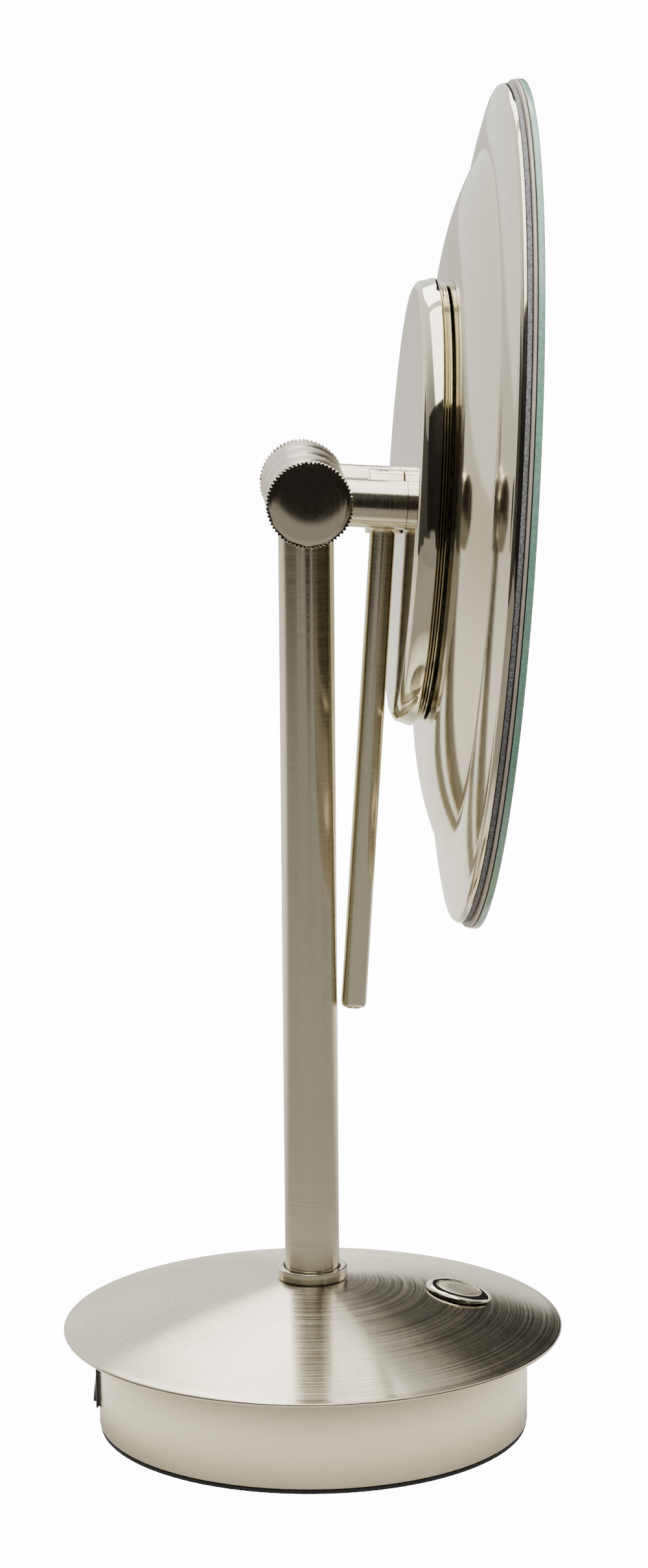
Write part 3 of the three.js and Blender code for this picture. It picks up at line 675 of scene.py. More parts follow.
class Finishes:
    """Makes each material once for each space and hands it out again."""

    def __init__(self) -> None:
        """Starts with nothing made."""
        self.made: dict[tuple[str, str], Material] = {}

    def metal(self, finish: MetalFinish, space: Space) -> Material:
        """Gives a brushed or polished metal whose grain runs round an axis.

        Args:
            finish: the metal's look.
            space: the axes its grain runs round.

        Returns:
            Material: the shared material.
        """
        key = (finish.name, space.value)
        if key not in self.made:
            self.made[key] = self._metal(finish, space)
        return self.made[key]

    def _metal(self, finish: MetalFinish, space: Space) -> Material:
        """Builds one metal: its tone lines, its wear, its fine relief and the run of its brushing.

        Args:
            finish: the metal's look.
            space: the axes its grain runs round.

        Returns:
            Material: the new material.
        """
        g = Graph(f"{finish.name}_{space.value}")
        place_mm = g.local(space)
        flat = g.vector("MULTIPLY", place_mm, (1, 1, 0))
        radius = g.vector("LENGTH", flat)
        unit = g.vector("NORMALIZE", flat)
        parts = g.node("SeparateXYZ")
        g.link(place_mm, parts.inputs[0])
        swept = g.vector("SCALE", unit, scale=0.9)
        lines = g.node("CombineXYZ")
        g.link(g.math("MULTIPLY", radius, 9.0), lines.inputs[0])
        g.link(g.math("MULTIPLY", parts.outputs[2], 9.0), lines.inputs[1])
        grain_place = g.vector("ADD", lines.outputs[0], swept)
        fine = g.noise(grain_place, 1.0, detail=4.0, rough=0.7)
        broad = g.noise(grain_place, 0.16, detail=2.0)
        patches = g.noise(place_mm, 0.045, detail=4.0)
        smears = g.noise(place_mm, 0.3, detail=6.0, rough=0.7)
        tone = g.math("ADD", g.math("MULTIPLY", fine, 0.35), g.math("MULTIPLY", patches, 0.3))
        tone = g.math("ADD", tone, g.math("MULTIPLY", broad, 0.35))
        shade = g.spread(tone, 1 - finish.patch - finish.grain * 0.25, 1 + finish.patch, 0.38, 0.62)
        grey = g.node("CombineColor")
        for socket in grey.inputs[:3]:
            g.link(shade, socket)
        shader = g.principled(Metallic=1.0, Anisotropic=finish.stretch)
        g.link(g.mix(1.0, finish.color, grey.outputs[0], "MULTIPLY"), shader.inputs["Base Color"])
        wear = g.math("MULTIPLY", g.spread(smears, 0.0, 1.0, 0.45, 0.75), finish.wear)
        uneven = g.spread(broad, finish.roughness * 0.8, finish.roughness * 1.2, 0.35, 0.65)
        rough = g.math("ADD", uneven, wear)
        g.link(rough, shader.inputs["Roughness"])
        if finish.grain:
            g.link(g.bump(fine, finish.grain * 0.25, 0.00002), shader.inputs["Normal"])
        if finish.stretch:
            normal = g.node("NewGeometry").outputs["Normal"]
            g.link(g.vector("CROSS_PRODUCT", g.around(space), normal), shader.inputs["Tangent"])
        return g.material

    def plain(self, finish: PlainFinish) -> Material:
        """Gives a surface without brushing, with a fine grain and soft mottling.

        Args:
            finish: the surface's look.

        Returns:
            Material: the shared material.
        """
        key = (finish.name, "plain")
        if key not in self.made:
            g = Graph(finish.name)
            where = g.node("TexCoord").outputs["Object"]
            grain = g.noise(where, finish.scale, detail=5.0, rough=0.65)
            mottle = g.noise(where, finish.scale * 0.06, detail=3.0)
            dark = tuple(c * (1 - finish.vary) for c in finish.color)
            light = tuple(min(1.0, c * (1 + finish.vary)) for c in finish.color)
            shader = g.principled(Metallic=finish.metallic)
            g.link(g.ramp(mottle, (0.35, dark), (0.65, light)), shader.inputs["Base Color"])
            rough = finish.roughness
            uneven = g.spread(grain, rough * 0.85, min(1.0, rough * 1.15), 0.3, 0.7)
            g.link(uneven, shader.inputs["Roughness"])
            g.link(g.bump(grain, finish.bump), shader.inputs["Normal"])
            self.made[key] = g.material
        return self.made[key]

    def gasket(self) -> Material:
        """Gives the speckled grey foam of the rim's gasket.

        Returns:
            Material: the shared material.
        """
        key = ("gasket", "plain")
        if key not in self.made:
            g = Graph("speckled_gasket")
            where = g.node("TexCoord").outputs["Object"]
            speckle = g.noise(where, 1500.0, detail=2.0, rough=0.6)
            cells = g.node("TexVoronoi", Scale=1100.0)
            g.link(where, cells.inputs["Vector"])
            shader = g.principled(Roughness=0.85)
            greys = ((0.36, (0.12, 0.125, 0.13)), (0.5, (0.19, 0.195, 0.2)), (0.64, (0.3, 0.31, 0.315)))
            g.link(g.ramp(speckle, *greys), shader.inputs["Base Color"])
            g.link(g.bump(cells.outputs["Distance"], 0.2), shader.inputs["Normal"])
            self.made[key] = g.material
        return self.made[key]

    def mirror(self, radius: float, light: tuple[float, float]) -> Material:
        """Gives the silvered glass: a mirror face, a frosted light ring and a green edge.

        Args:
            radius: the glass's radius in millimetres.
            light: the light ring's inner and outer radius in millimetres.

        Returns:
            Material: the glass's material.
        """
        key = ("mirror", "plain")
        if key not in self.made:
            g = Graph("mirror_glass")
            place_mm = g.local(Space.HEAD)
            across = g.vector("LENGTH", g.vector("MULTIPLY", place_mm, (1, 1, 0)))
            dust = g.noise(place_mm, 0.35, detail=6.0, rough=0.7)
            edge = g.spread(across, 0.0, 1.0, radius - 0.5, radius - 0.35)
            inside = g.spread(across, 0.0, 1.0, light[0], light[0] + 0.3)
            outside = g.spread(across, 1.0, 0.0, light[1] - 0.3, light[1])
            frost = g.math("MULTIPLY", inside, outside)
            tint = g.mix(frost, (0.9, 0.93, 0.915), (0.86, 0.88, 0.87))
            cloudy = g.noise(place_mm, 0.9, detail=3.0)
            green = g.ramp(cloudy, (0.3, (0.16, 0.33, 0.25)), (0.7, (0.26, 0.45, 0.36)))
            shader = g.principled()
            g.link(g.mix(edge, tint, green), shader.inputs["Base Color"])
            rough = g.math("ADD", g.math("MULTIPLY", frost, 0.5), g.spread(dust, 0.01, 0.03, 0.4, 0.7))
            g.link(g.math("ADD", rough, g.math("MULTIPLY", edge, 0.16)), shader.inputs["Roughness"])
            bare = g.math("MAXIMUM", edge, g.math("MULTIPLY", frost, 0.75))
            metal = g.math("SUBTRACT", 1.0, bare, clamp=True)
            g.link(metal, shader.inputs["Metallic"])
            self.made[key] = g.material
        return self.made[key]


# ---- Base ---------------------------------------------------------------------------------


@dataclass(frozen=True)
class BaseSizes:
    """Sizes of the base in millimetres."""

    drum: float = 63.3
    rim: float = 73.8
    lip_low: float = 29.2
    lip: float = 1.2
    arc: float = 409.0
    rim_slope: float = 17.0
    pad: float = 1.2
    pad_hole: float = 44.8
    sheet: float = 1.2
    stem_bore: float = 3.4
    hole: float = 8.3

    def sine(self, radius: float) -> float:
        """Gives the sine of the dome's slope.

        Args:
            radius: the distance from the post's axis.

        Returns:
            float: the sine.
        """
        return math.sin(math.radians(self.rim_slope)) - (self.rim - self.lip - radius) / self.arc

    def height(self, radius: float) -> float:
        """Gives the dome's height above the ground.

        Args:
            radius: the distance from the post's axis.

        Returns:
            float: the height in millimetres.
        """
        level = math.cos(math.radians(self.rim_slope))
        return self.lip_low + self.lip + self.arc * (math.sqrt(1 - self.sine(radius) ** 2) - level)


BASE = BaseSizes()
BUTTON_REACH = 43.0
SWITCH_LAP = 0.15


def button_matrix() -> Matrix:
    """Gives the place of the push button, square to the dome.

    Returns:
        Matrix: from the button's own axes to the object's.
    """
    slope = math.asin(BASE.sine(BUTTON_REACH))
    spot = Vector((0, -BUTTON_REACH, BASE.height(BUTTON_REACH))) * MM
    return Matrix.Translation(spot) @ Matrix.Rotation(slope, 4, "X")


@dataclass
class Base:
    """The weighted drum, its domed cover and its rubber foot."""

    finishes: Finishes

    def build(self) -> None:
        """Builds every visible skin of the base."""
        self._dome()
        self._drum()
        self._foot()

    def _dome(self) -> None:
        """Turns the domed cover with its rolled lip and bores the button's hole."""
        edge = BASE.rim - BASE.lip
        steps = 36
        radii = [BASE.stem_bore + (edge - BASE.stem_bore) * i / steps for i in range(steps + 1)]
        top = [(r, BASE.height(r)) for r in radii]
        middle = BASE.lip_low + BASE.lip / 2
        lip = [(edge + BASE.lip * 0.55 * math.sin(a) + 0.2, middle + BASE.lip / 2 * math.cos(a))
               for a in (math.radians(d) for d in (25, 50, 75, 100, 125, 150, 180))]
        under = [(r, BASE.height(r) - BASE.sheet) for r in reversed(radii) if r < edge - 3]
        dome = turn("base_dome_cover", top + lip + [(edge - 2.4, BASE.lip_low)] + under, 288)
        cutter = rod("button_cutter", BASE.hole, -13, 6, 96)
        place(cutter, button_matrix())
        combine(dome, cutter, "DIFFERENCE")
        hand_over(dome, Body.BASE, "brushed_nickel", self.finishes.metal(DOME, Space.POST), "base_dome")

    def _drum(self) -> None:
        """Makes the drum's side band and cuts the switch's opening."""
        low, high = BASE.pad + GAP, BASE.height(BASE.drum) - BASE.sheet - 2 * GAP
        wall = tube("base_side_band", BASE.drum - BASE.sheet, BASE.drum, low, high, 288, 0.35)
        across, middle = RockerSwitch.half_width - SWITCH_LAP, RockerSwitch.middle
        up = RockerSwitch.half_height - SWITCH_LAP
        cutter = block("switch_cutter", (-across, 50, middle - up), (across, 70, middle + up))
        combine(wall, cutter, "DIFFERENCE")
        hand_over(wall, Body.BASE, "satin_nickel", self.finishes.metal(DRUM, Space.POST), "base_drum")

    def _foot(self) -> None:
        """Makes the rubber ring under the drum."""
        rubber = self.finishes.plain(RUBBER)
        foot = tube("rubber_foot", BASE.pad_hole, BASE.drum - GAP, 0, BASE.pad, 192, 0.25)
        hand_over(foot, Body.BASE, "black_rubber", rubber, "foot_pad")


@dataclass
class PushButton:
    """The domed push button in its polished bezel."""

    finishes: Finishes
    radius: float = 6.2
    bore: float = 6.5
    barrel: float = 8.0
    flange: float = 9.8
    depth: float = 12.0
    stem: float = 1.6
    stem_low: float = -6.6
    cap_low: float = -1.6
    cap_top: float = 1.5

    def build(self) -> None:
        """Builds the bezel and the button's cap."""
        width, rise = self.flange - self.bore - 0.3, 1.25
        crown = [(self.flange - width * (1 - math.cos(a)), 0.35 + rise * math.sin(a))
                 for a in (math.radians(d) for d in (0, 12, 25, 38, 51, 64, 77, 90))]
        crown += [(self.bore + 0.1, 0.25 + rise), (self.bore, 0.05 + rise)]
        sleeve = [(self.bore, -self.depth), (self.barrel, -self.depth), (self.barrel, GAP)]
        bezel = turn("button_surround", sleeve + crown, 128)
        place(bezel, button_matrix())
        bright = self.finishes.metal(POLISHED, Space.BUTTON)
        hand_over(bezel, Body.BASE, "polished_nickel", bright, "button_bezel")
        top = [(self.radius, 1.1), (self.radius - 0.12, 1.3), (self.radius - 0.4, 1.42), (3.5, 1.49),
               (1.2, self.cap_top), (0, self.cap_top)]
        stem = [(0, self.stem_low), (self.stem, self.stem_low), (self.stem, self.cap_low)]
        cap = turn("button_cap", stem + [(self.radius, self.cap_low)] + top, 96)
        place(cap, button_matrix())
        dull = self.finishes.metal(BUTTON, Space.BUTTON)
        hand_over(cap, Body.BUTTON, "brushed_nickel", dull, "push_button")


@dataclass
class RockerSwitch:
    """The small black rocker let into the back of the drum."""

    finishes: Finishes
    face: float = 64.3
    flange: float = 0.7
    middle: float = 14.4
    half_width: float = 5.25
    half_height: float = 7.6
    rim: float = 0.9
    depth: float = 5.5
    body_depth: float = 11.0
    throw: float = 4.0

    def build(self) -> None:
        """Builds the switch's frame and its rocker."""
        gloss = self.finishes.plain(BLACK_PLASTIC)
        low = (-self.half_width, self.face - self.flange, self.middle - self.half_height)
        high = (self.half_width, self.face, self.middle + self.half_height)
        frame_piece = block("rocker_frame", low, high, 0.3)
        inner = (self.half_width - self.rim / 2, self.half_height - self.rim / 2)
        body = block("rocker_body", (-inner[0], self.face - self.body_depth, self.middle - inner[1]),
                     (inner[0], self.face - GAP, self.middle + inner[1]))
        combine(frame_piece, body, "UNION")
        well = (self.half_width - self.rim, self.half_height - self.rim)
        pocket = block("rocker_pocket", (-well[0], self.face - self.depth, self.middle - well[1]),
                       (well[0], self.face + 1, self.middle + well[1]))
        combine(frame_piece, pocket, "DIFFERENCE")
        hand_over(frame_piece, Body.BASE, "black_plastic", gloss, "switch_frame")
        self._paddle(well, gloss)

    def _paddle(self, well: tuple[float, float], gloss: Material) -> None:
        """Builds the rocker, bent at its middle so that one end stands out.

        Args:
            well: half the pocket's width and height.
            gloss: the black plastic.
        """
        reach = well[1] - 0.6
        throw = math.radians(self.throw)
        lift = reach * math.sin(throw)
        face = self.depth / 2 + 0.3
        paddle = block("rocker_paddle", (-well[0] + GAP, -self.depth / 2 + lift + 0.6, -reach),
                       (well[0] - GAP, face - 0.3, reach))
        activate(paddle)
        bpy.ops.object.mode_set(mode="EDIT")
        bpy.ops.mesh.select_mode(type="VERT")
        bpy.ops.mesh.select_all(action="SELECT")
        bpy.ops.mesh.bisect(plane_co=(0, 0, 0), plane_no=(0, 0, 1))
        bpy.ops.mesh.select_all(action="DESELECT")
        bpy.ops.object.mode_set(mode="OBJECT")
        self._lift_ends(paddle, reach, face, lift)
        soften(paddle, 0.25 * MM)
        smooth(paddle)
        spot = Vector((0, self.face - self.depth / 2, self.middle)) * MM
        place(paddle, Matrix.Translation(spot) @ Matrix.Rotation(throw, 4, "X"))
        hand_over(paddle, Body.ROCKER, "black_plastic", gloss, "switch_rocker")

    def _lift_ends(self, paddle: Object, reach: float, face: float, lift: float) -> None:
        """Raises both ends of the paddle's face and tapers its back toward them.

        Args:
            paddle: the paddle.
            reach: half its height.
            face: how far its middle stands out.
            lift: how much further its ends do.
        """
        for front, goal in ((True, face + lift - 0.3), (False, (face - lift) * 0.6)):
            for corner in paddle.data.vertices:
                corner.select = abs(corner.co.z) > (reach - 0.1) * MM and (corner.co.y > 0) == front
            now = next(corner.co.y for corner in paddle.data.vertices if corner.select)
            bpy.ops.object.mode_set(mode="EDIT")
            bpy.ops.transform.translate(value=(0, goal * MM - now, 0))
            bpy.ops.mesh.select_all(action="DESELECT")
            bpy.ops.object.mode_set(mode="OBJECT")


# ---- Post and pivot -----------------------------------------------------------------------


@dataclass
class Post:
    """The post and the collar at its foot."""

    finishes: Finishes
    radius: float = 8.0
    wall: float = 1.0
    collar_wall: float = 2.0
    collar_height: float = 3.0

    def build(self) -> None:
        """Builds the post tube, cut to the pivot barrel, and its collar."""
        foot = BASE.height(self.radius - self.wall) + GAP
        post = tube("post_tube_skin", self.radius - self.wall, self.radius, foot, PIVOT_HEIGHT, 192)
        saddle = rod("saddle_cutter", Pivot.radius + GAP, -30, 30, 192)
        place(saddle, across_matrix())
        combine(post, saddle, "DIFFERENCE")
        hand_over(post, Body.BASE, "satin_nickel", self.finishes.metal(SATIN, Space.POST), "post_tube")
        inner = self.radius + GAP
        outer = inner + self.collar_wall
        low, high = BASE.height(outer) + GAP, BASE.height(inner) + GAP
        top = high + self.collar_height
        section = [(inner, high), (outer, low), (outer, top), (inner, top)]
        collar = turn("post_collar_ring", section, 160, 0.3)
        hand_over(collar, Body.BASE, "polished_nickel", self.finishes.metal(SATIN, Space.POST), "post_collar")


@dataclass
class Pivot:
    """The fixed barrel on the post and the knurled knob at each end."""

    finishes: Finishes
    radius: float = 12.0
    half: float = 8.8
    axle: float = 4.0
    knob_start: float = 24.5
    knob_width: float = 2.6
    crown: float = 0.8
    boss: float = 7.6
    teeth: int = 64
    tooth: float = 0.55
    valley: float = 0.45

    def build(self) -> None:
        """Builds the barrel and both knobs."""
        barrel = rod("pivot_barrel_skin", self.radius, -self.half, self.half, 192, 0.3)
        place(barrel, across_matrix())
        spigot = rod("spigot", Post.radius - Post.wall - GAP, PIVOT_HEIGHT - 32, PIVOT_HEIGHT - 6, 64)
        combine(barrel, spigot, "UNION")
        bore = rod("axle_bore", self.axle + GAP, -20, 20, 64)
        place(bore, across_matrix())
        combine(barrel, bore, "DIFFERENCE")
        brushed = self.finishes.metal(BRUSHED, Space.PIVOT)
        hand_over(barrel, Body.BASE, "brushed_nickel", brushed, "pivot_barrel")
        for side, body in ((-1, Body.LEFT_KNOB), (1, Body.RIGHT_KNOB)):
            self._knob(side, body)

    def _knob(self, side: int, body: Body) -> None:
        """Builds one knurled knob with its crowned cap, its boss and its thread's hole.

        Args:
            side: 1 for the right-hand side, -1 for the left.
            body: the knob's body.
        """
        name = body.value
        start, end = self.knob_start, self.knob_start + self.knob_width
        rim = rod(f"{name}_rim", self.radius - 0.25, start, end, self.teeth * 4)
        self._knurl(rim)
        edge = 11.1
        radii = (edge, 10, 8.5, 7, 5.5, 4, 2.5, 1)
        crown = [(r, end + 0.05 + self.crown * (1 - (r / edge) ** 2)) for r in radii]
        face = [(0, end - 1.2), (11.3, end - 1.2), (11.3, end - 0.05)] + crown
        cap = turn(f"{name}_cap", face + [(0, end + 0.05 + self.crown)], 160)
        boss = rod(f"{name}_boss", self.boss, start - 4.8, start + 1.3, 96)
        combine(rim, boss, "UNION")
        combine(rim, cap, "UNION")
        hole = rod(f"{name}_thread", self.axle + GAP, 0, start + 1.2, 64)
        combine(rim, hole, "DIFFERENCE")
        rim.name = rim.data.name = f"{name}_knurled"
        place(rim, across_matrix(side))
        smooth(rim, 28)
        hand_over(rim, body, "brushed_nickel", self.finishes.metal(KNOB, Space.PIVOT), name)

    def _knurl(self, rim: Object) -> None:
        """Pushes a part of each pitch outward along the rim, which makes its teeth.

        Args:
            rim: the plain rim, along +Z.
        """
        activate(rim)
        bpy.ops.object.mode_set(mode="EDIT")
        bpy.ops.mesh.select_mode(type="VERT")
        bpy.ops.mesh.select_all(action="DESELECT")
        bpy.ops.object.mode_set(mode="OBJECT")
        pitch = 2 * math.pi / self.teeth
        for corner in rim.data.vertices:
            turn_part = (math.atan2(corner.co.y, corner.co.x) / pitch) % 1.0
            corner.select = turn_part > self.valley
        bpy.ops.object.mode_set(mode="EDIT")
        grow = 1 + self.tooth / self.radius
        bpy.ops.transform.resize(value=(grow, grow, 1), center_override=(0, 0, 0))
        bpy.ops.object.mode_set(mode="OBJECT")
        soften(rim, 0.12 * MM, 1, 60)


# ---- Head ---------------------------------------------------------------------------------


@dataclass(frozen=True)
class HeadSizes:
    """Sizes of the head in millimetres, forward from the pivot's axis."""

    housing_back: float = 27.6
    housing_depth: float = 8.5
    housing: float = 60.4
    bulge: float = 3.4
    flat: float = 66.0
    kink: float = 99.8
    dome: float = 8.2
    shell: float = 119.0
    flange: float = 5.0
    start_slope: float = 5.0
    rim: float = 1.8
    sheet: float = 0.9
    gasket: float = 1.3
    gasket_width: float = 7.0
    plate: float = 0.8
    glass: float = 120.5
    glass_depth: float = 1.8
    light: tuple[float, float] = (97.0, 109.0)


HEAD = HeadSizes()
SHELL_BACK = HEAD.housing_back + HEAD.housing_depth + GAP
SHELL_FRONT = SHELL_BACK + HEAD.dome + HEAD.flange
GASKET_BACK = SHELL_FRONT + GAP
PLATE_BACK = GASKET_BACK + HEAD.gasket + GAP
GLASS_BACK = PLATE_BACK + HEAD.plate + GAP


@dataclass
class Arms:
    """The two arms that carry the head on the pivot, and the handle's stub and rod."""

    finishes: Finishes
    inner: float = 9.2
    outer: float = 24.2
    radius: float = 6.8
    seam: float = 0.08
    axle_bore: float = 4.3
    washer_bore: float = 9.8
    washer_floor: float = 10.3
    boss_bore: float = 7.9
    boss_floor: float = 19.4
    knob_room: float = 12.8

    def build(self) -> None:
        """Builds both arms, the stub and the handle rod."""
        for name, side in (("left", -1), ("right", 1)):
            self._arm(name, side)
        self._stub()
        self._rod()

    def _arm(self, name: str, side: int) -> None:
        """Builds one arm: a collar round the pivot and a short tube to the housing.

        Args:
            name: the side's name.
            side: 1 for the right-hand side, -1 for the left.
        """
        middle = side * (self.inner + self.outer) / 2
        collar = rod(f"{name}_collar", Pivot.radius, self.inner, self.outer, 192, 0.3)
        place(collar, across_matrix(side))
        arm = rod(f"{name}_tube", self.radius, 6, HEAD.housing_back - self.seam, 128)
        slide = Matrix.Translation((middle * MM, 0, 0))
        place(arm, slide @ forward_matrix(0))
        combine(collar, arm, "UNION")
        past_inner, past_outer = self.inner - 1, self.outer + 1
        seats = ((self.axle_bore, past_inner, past_outer), (self.washer_bore, past_inner, self.washer_floor),
                 (self.boss_bore, self.boss_floor, past_outer), (self.knob_room, self.outer, self.outer + 12))
        for i, (radius, low, high) in enumerate(seats):
            seat = rod(f"{name}_seat_{i}", radius, low, high, 160)
            place(seat, across_matrix(side))
            combine(collar, seat, "DIFFERENCE")
        collar.name = collar.data.name = f"{name}_arm_skin"
        soften(collar, 0.12 * MM, 2, 50)
        smooth(collar)
        brushed = self.finishes.metal(BRUSHED, Space.PIVOT)
        hand_over(collar, Body.HEAD, "brushed_nickel", brushed, f"{name}_arm")

    def _stub(self) -> None:
        """Builds the boss under the housing and sinks the rod's socket into it."""
        back, front, radius = HEAD.housing_back - 10.0, HEAD.housing_back - self.seam, 9.2
        stub = turn("handle_boss", [(0, back), (radius, back), (radius, front), (0, front)], 160, 0.35)
        place(stub, forward_matrix(1.4 * MM))
        socket = rod("handle_socket", 4.0, -20, -4.4, 96)
        place(socket, rod_matrix())
        combine(stub, socket, "DIFFERENCE")
        hand_over(stub, Body.HEAD, "brushed_nickel", self.finishes.metal(BRUSHED, Space.HEAD), "handle_stub")

    def _rod(self) -> None:
        """Builds the handle rod with its rounded tip."""
        top, tip, radius = -4.8, -149.7, 3.7
        end = [(0, tip), (1.6, tip), (2.6, tip + 0.2), (3.2, tip + 0.55), (3.55, tip + 1.1),
               (radius, tip + 1.9)]
        handle = turn("handle_bar", end + [(radius, top), (0, top)], 96)
        place(handle, rod_matrix())
        hand_over(handle, Body.HEAD, "satin_nickel", self.finishes.metal(SATIN, Space.ROD), "handle_rod")


@dataclass
class Head:
    """The housing, the pressed shell and the layers of the glass."""

    finishes: Finishes

    def build(self) -> None:
        """Builds the head from the back to the glass."""
        self._housing()
        self._shell()
        self._layers()

    def _housing(self) -> None:
        """Turns the housing's cover, with three fine ridges round its neck."""
        back = HEAD.housing_back
        front = back + HEAD.housing_depth
        out = HEAD.housing + HEAD.bulge
        groove = front - HEAD.housing_depth / 4
        wall = 1.2
        outer = [(HEAD.housing, back), (HEAD.housing + 0.35, back + 0.06), (HEAD.housing + 1.7, back + 0.85),
                 (HEAD.housing + 2.1, back + 1.25), (out - 0.75, back + 3.4), (out - 0.2, groove - 1.4),
                 (out - 0.2, groove - 0.75), (out - 0.5, groove - 0.5)]
        neck = out - 1.9
        bead = []
        for i in range(3):
            low = groove - 0.4 + i * 0.8
            bead += [(neck, low), (out - 1.3, low + 0.2), (out - 1.15, low + 0.4), (out - 1.3, low + 0.6)]
        inner = [(neck, front), (out - 2.6, front), (out - 2.6, back + 2 * wall),
                 (HEAD.housing - wall, back + wall)]
        face = [(0, back), (6, back), (20, back), (40, back), (55, back)]
        housing = turn("housing_cover", face + outer + bead + inner + [(0, back + wall)], 288)
        place(housing, forward_matrix())
        material = self.finishes.metal(POLISHED, Space.HEAD)
        hand_over(housing, Body.HEAD, "polished_nickel", material, "pivot_housing")

    def _outline(self) -> Profile:
        """Works out the shell's section from its flat middle to its rolled rim.

        Returns:
            Profile: radius and height of each point, in millimetres.
        """
        run = HEAD.kink - HEAD.flat
        radius = (run ** 2 + HEAD.dome ** 2) / (2 * HEAD.dome)
        dome = arc((HEAD.flat, SHELL_BACK), radius, 0, run / radius, 28)
        slope = math.radians(HEAD.start_slope)
        width, rise = HEAD.shell - HEAD.rim - HEAD.kink, HEAD.flange - HEAD.rim
        half = math.atan2(rise, width) - slope
        bend = math.hypot(width, rise) / (2 * math.sin(half))
        foot = (HEAD.kink, SHELL_BACK + HEAD.dome)
        flange = arc(foot, bend, math.sin(slope), math.sin(slope + 2 * half), 16)
        start = flange[-1]
        rim = []
        for i in range(1, 8):
            a = math.radians(90 * i / 7)
            rim.append((start[0] + HEAD.rim * math.sin(a) ** 0.9, start[1] + HEAD.rim * (1 - math.cos(a))))
        return dome + flange[1:] + rim

    def _shell(self) -> None:
        """Turns the pressed shell behind the glass."""
        outer = self._outline()
        inner = [(r - HEAD.sheet * 0.4, z + HEAD.sheet) for r, z in reversed(outer[:-8])]
        lip = [(HEAD.shell - HEAD.sheet, SHELL_FRONT), (HEAD.shell - 2.2, SHELL_FRONT - 0.6)]
        profile = [(0, SHELL_BACK)] + outer + lip + inner + [(0, SHELL_BACK + HEAD.sheet)]
        shell = turn("shell_back", profile, 384)
        place(shell, forward_matrix())
        hand_over(shell, Body.HEAD, "brushed_nickel", self.finishes.metal(SHELL, Space.HEAD), "mirror_shell")

    def _layers(self) -> None:
        """Builds the gasket, the rear plate and the silvered glass."""
        edge = HEAD.shell - GAP
        gasket = tube("gasket_ring", edge - HEAD.gasket_width, edge, GASKET_BACK, GASKET_BACK + HEAD.gasket,
                      288, 0.2)
        place(gasket, forward_matrix())
        hand_over(gasket, Body.HEAD, "grey_foam", self.finishes.gasket(), "rim_gasket")
        taupe = self.finishes.plain(TAUPE)
        radius = HEAD.glass - GAP
        plate = rod("rear_plate", radius, PLATE_BACK, PLATE_BACK + HEAD.plate, 288, 0.15)
        place(plate, forward_matrix())
        hand_over(plate, Body.HEAD, "taupe_plate", taupe, "backing_plate")
        glass = rod("silvered_glass", HEAD.glass, GLASS_BACK, GLASS_BACK + HEAD.glass_depth, 384, 0.25)
        place(glass, forward_matrix())
        silver = self.finishes.mirror(HEAD.glass, HEAD.light)
        hand_over(glass, Body.HEAD, "mirror_glass", silver, "mirror_glass")


# ---- Inner pieces -------------------------------------------------------------------------


@dataclass
class InnerPieces:
    """Dresses the frame nodes that are carried over as they are."""

    finishes: Finishes

    def build(self) -> None:
        """Gives each carried-over node a material of its own kind."""
        by_name = {
            "board": CIRCUIT_BOARD,
            "battery_tray": BLACK_PLASTIC,
            "button_switch": BLACK_PLASTIC,
            "ballast": CAST_IRON,
            "battery_cell": BATTERY_SLEEVE,
            "battery_door": DOOR_PLASTIC,
            "friction_washer": WASHER_PLASTIC,
            "led_board": WHITE_BOARD,
            "light_diffuser": FROSTED_RING,
        }
        looks = {key: self.finishes.plain(finish) for key, finish in by_name.items()}
        for name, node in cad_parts.items():
            keys = [key for key in looks if key in name]
            look = looks[max(keys, key=len)] if keys else self.finishes.metal(ZINC, Space.POST)
            node.data.materials.clear()
            node.data.materials.append(look)


# ---- Studio -------------------------------------------------------------------------------


class Seen(Enum):
    """Which rays meet a studio piece."""

    BY_EYE = "camera"
    IN_METAL = "glossy"


@dataclass(frozen=True)
class Card:
    """A dark card that shows only as a reflection."""

    name: str
    spot: Place
    size: tuple[float, float]
    shade: float = 0.02
    oval: bool = False


@dataclass(frozen=True)
class Softbox:
    """A soft rectangular light aimed at the object."""

    name: str
    spot: Place
    size: tuple[float, float]
    power: float


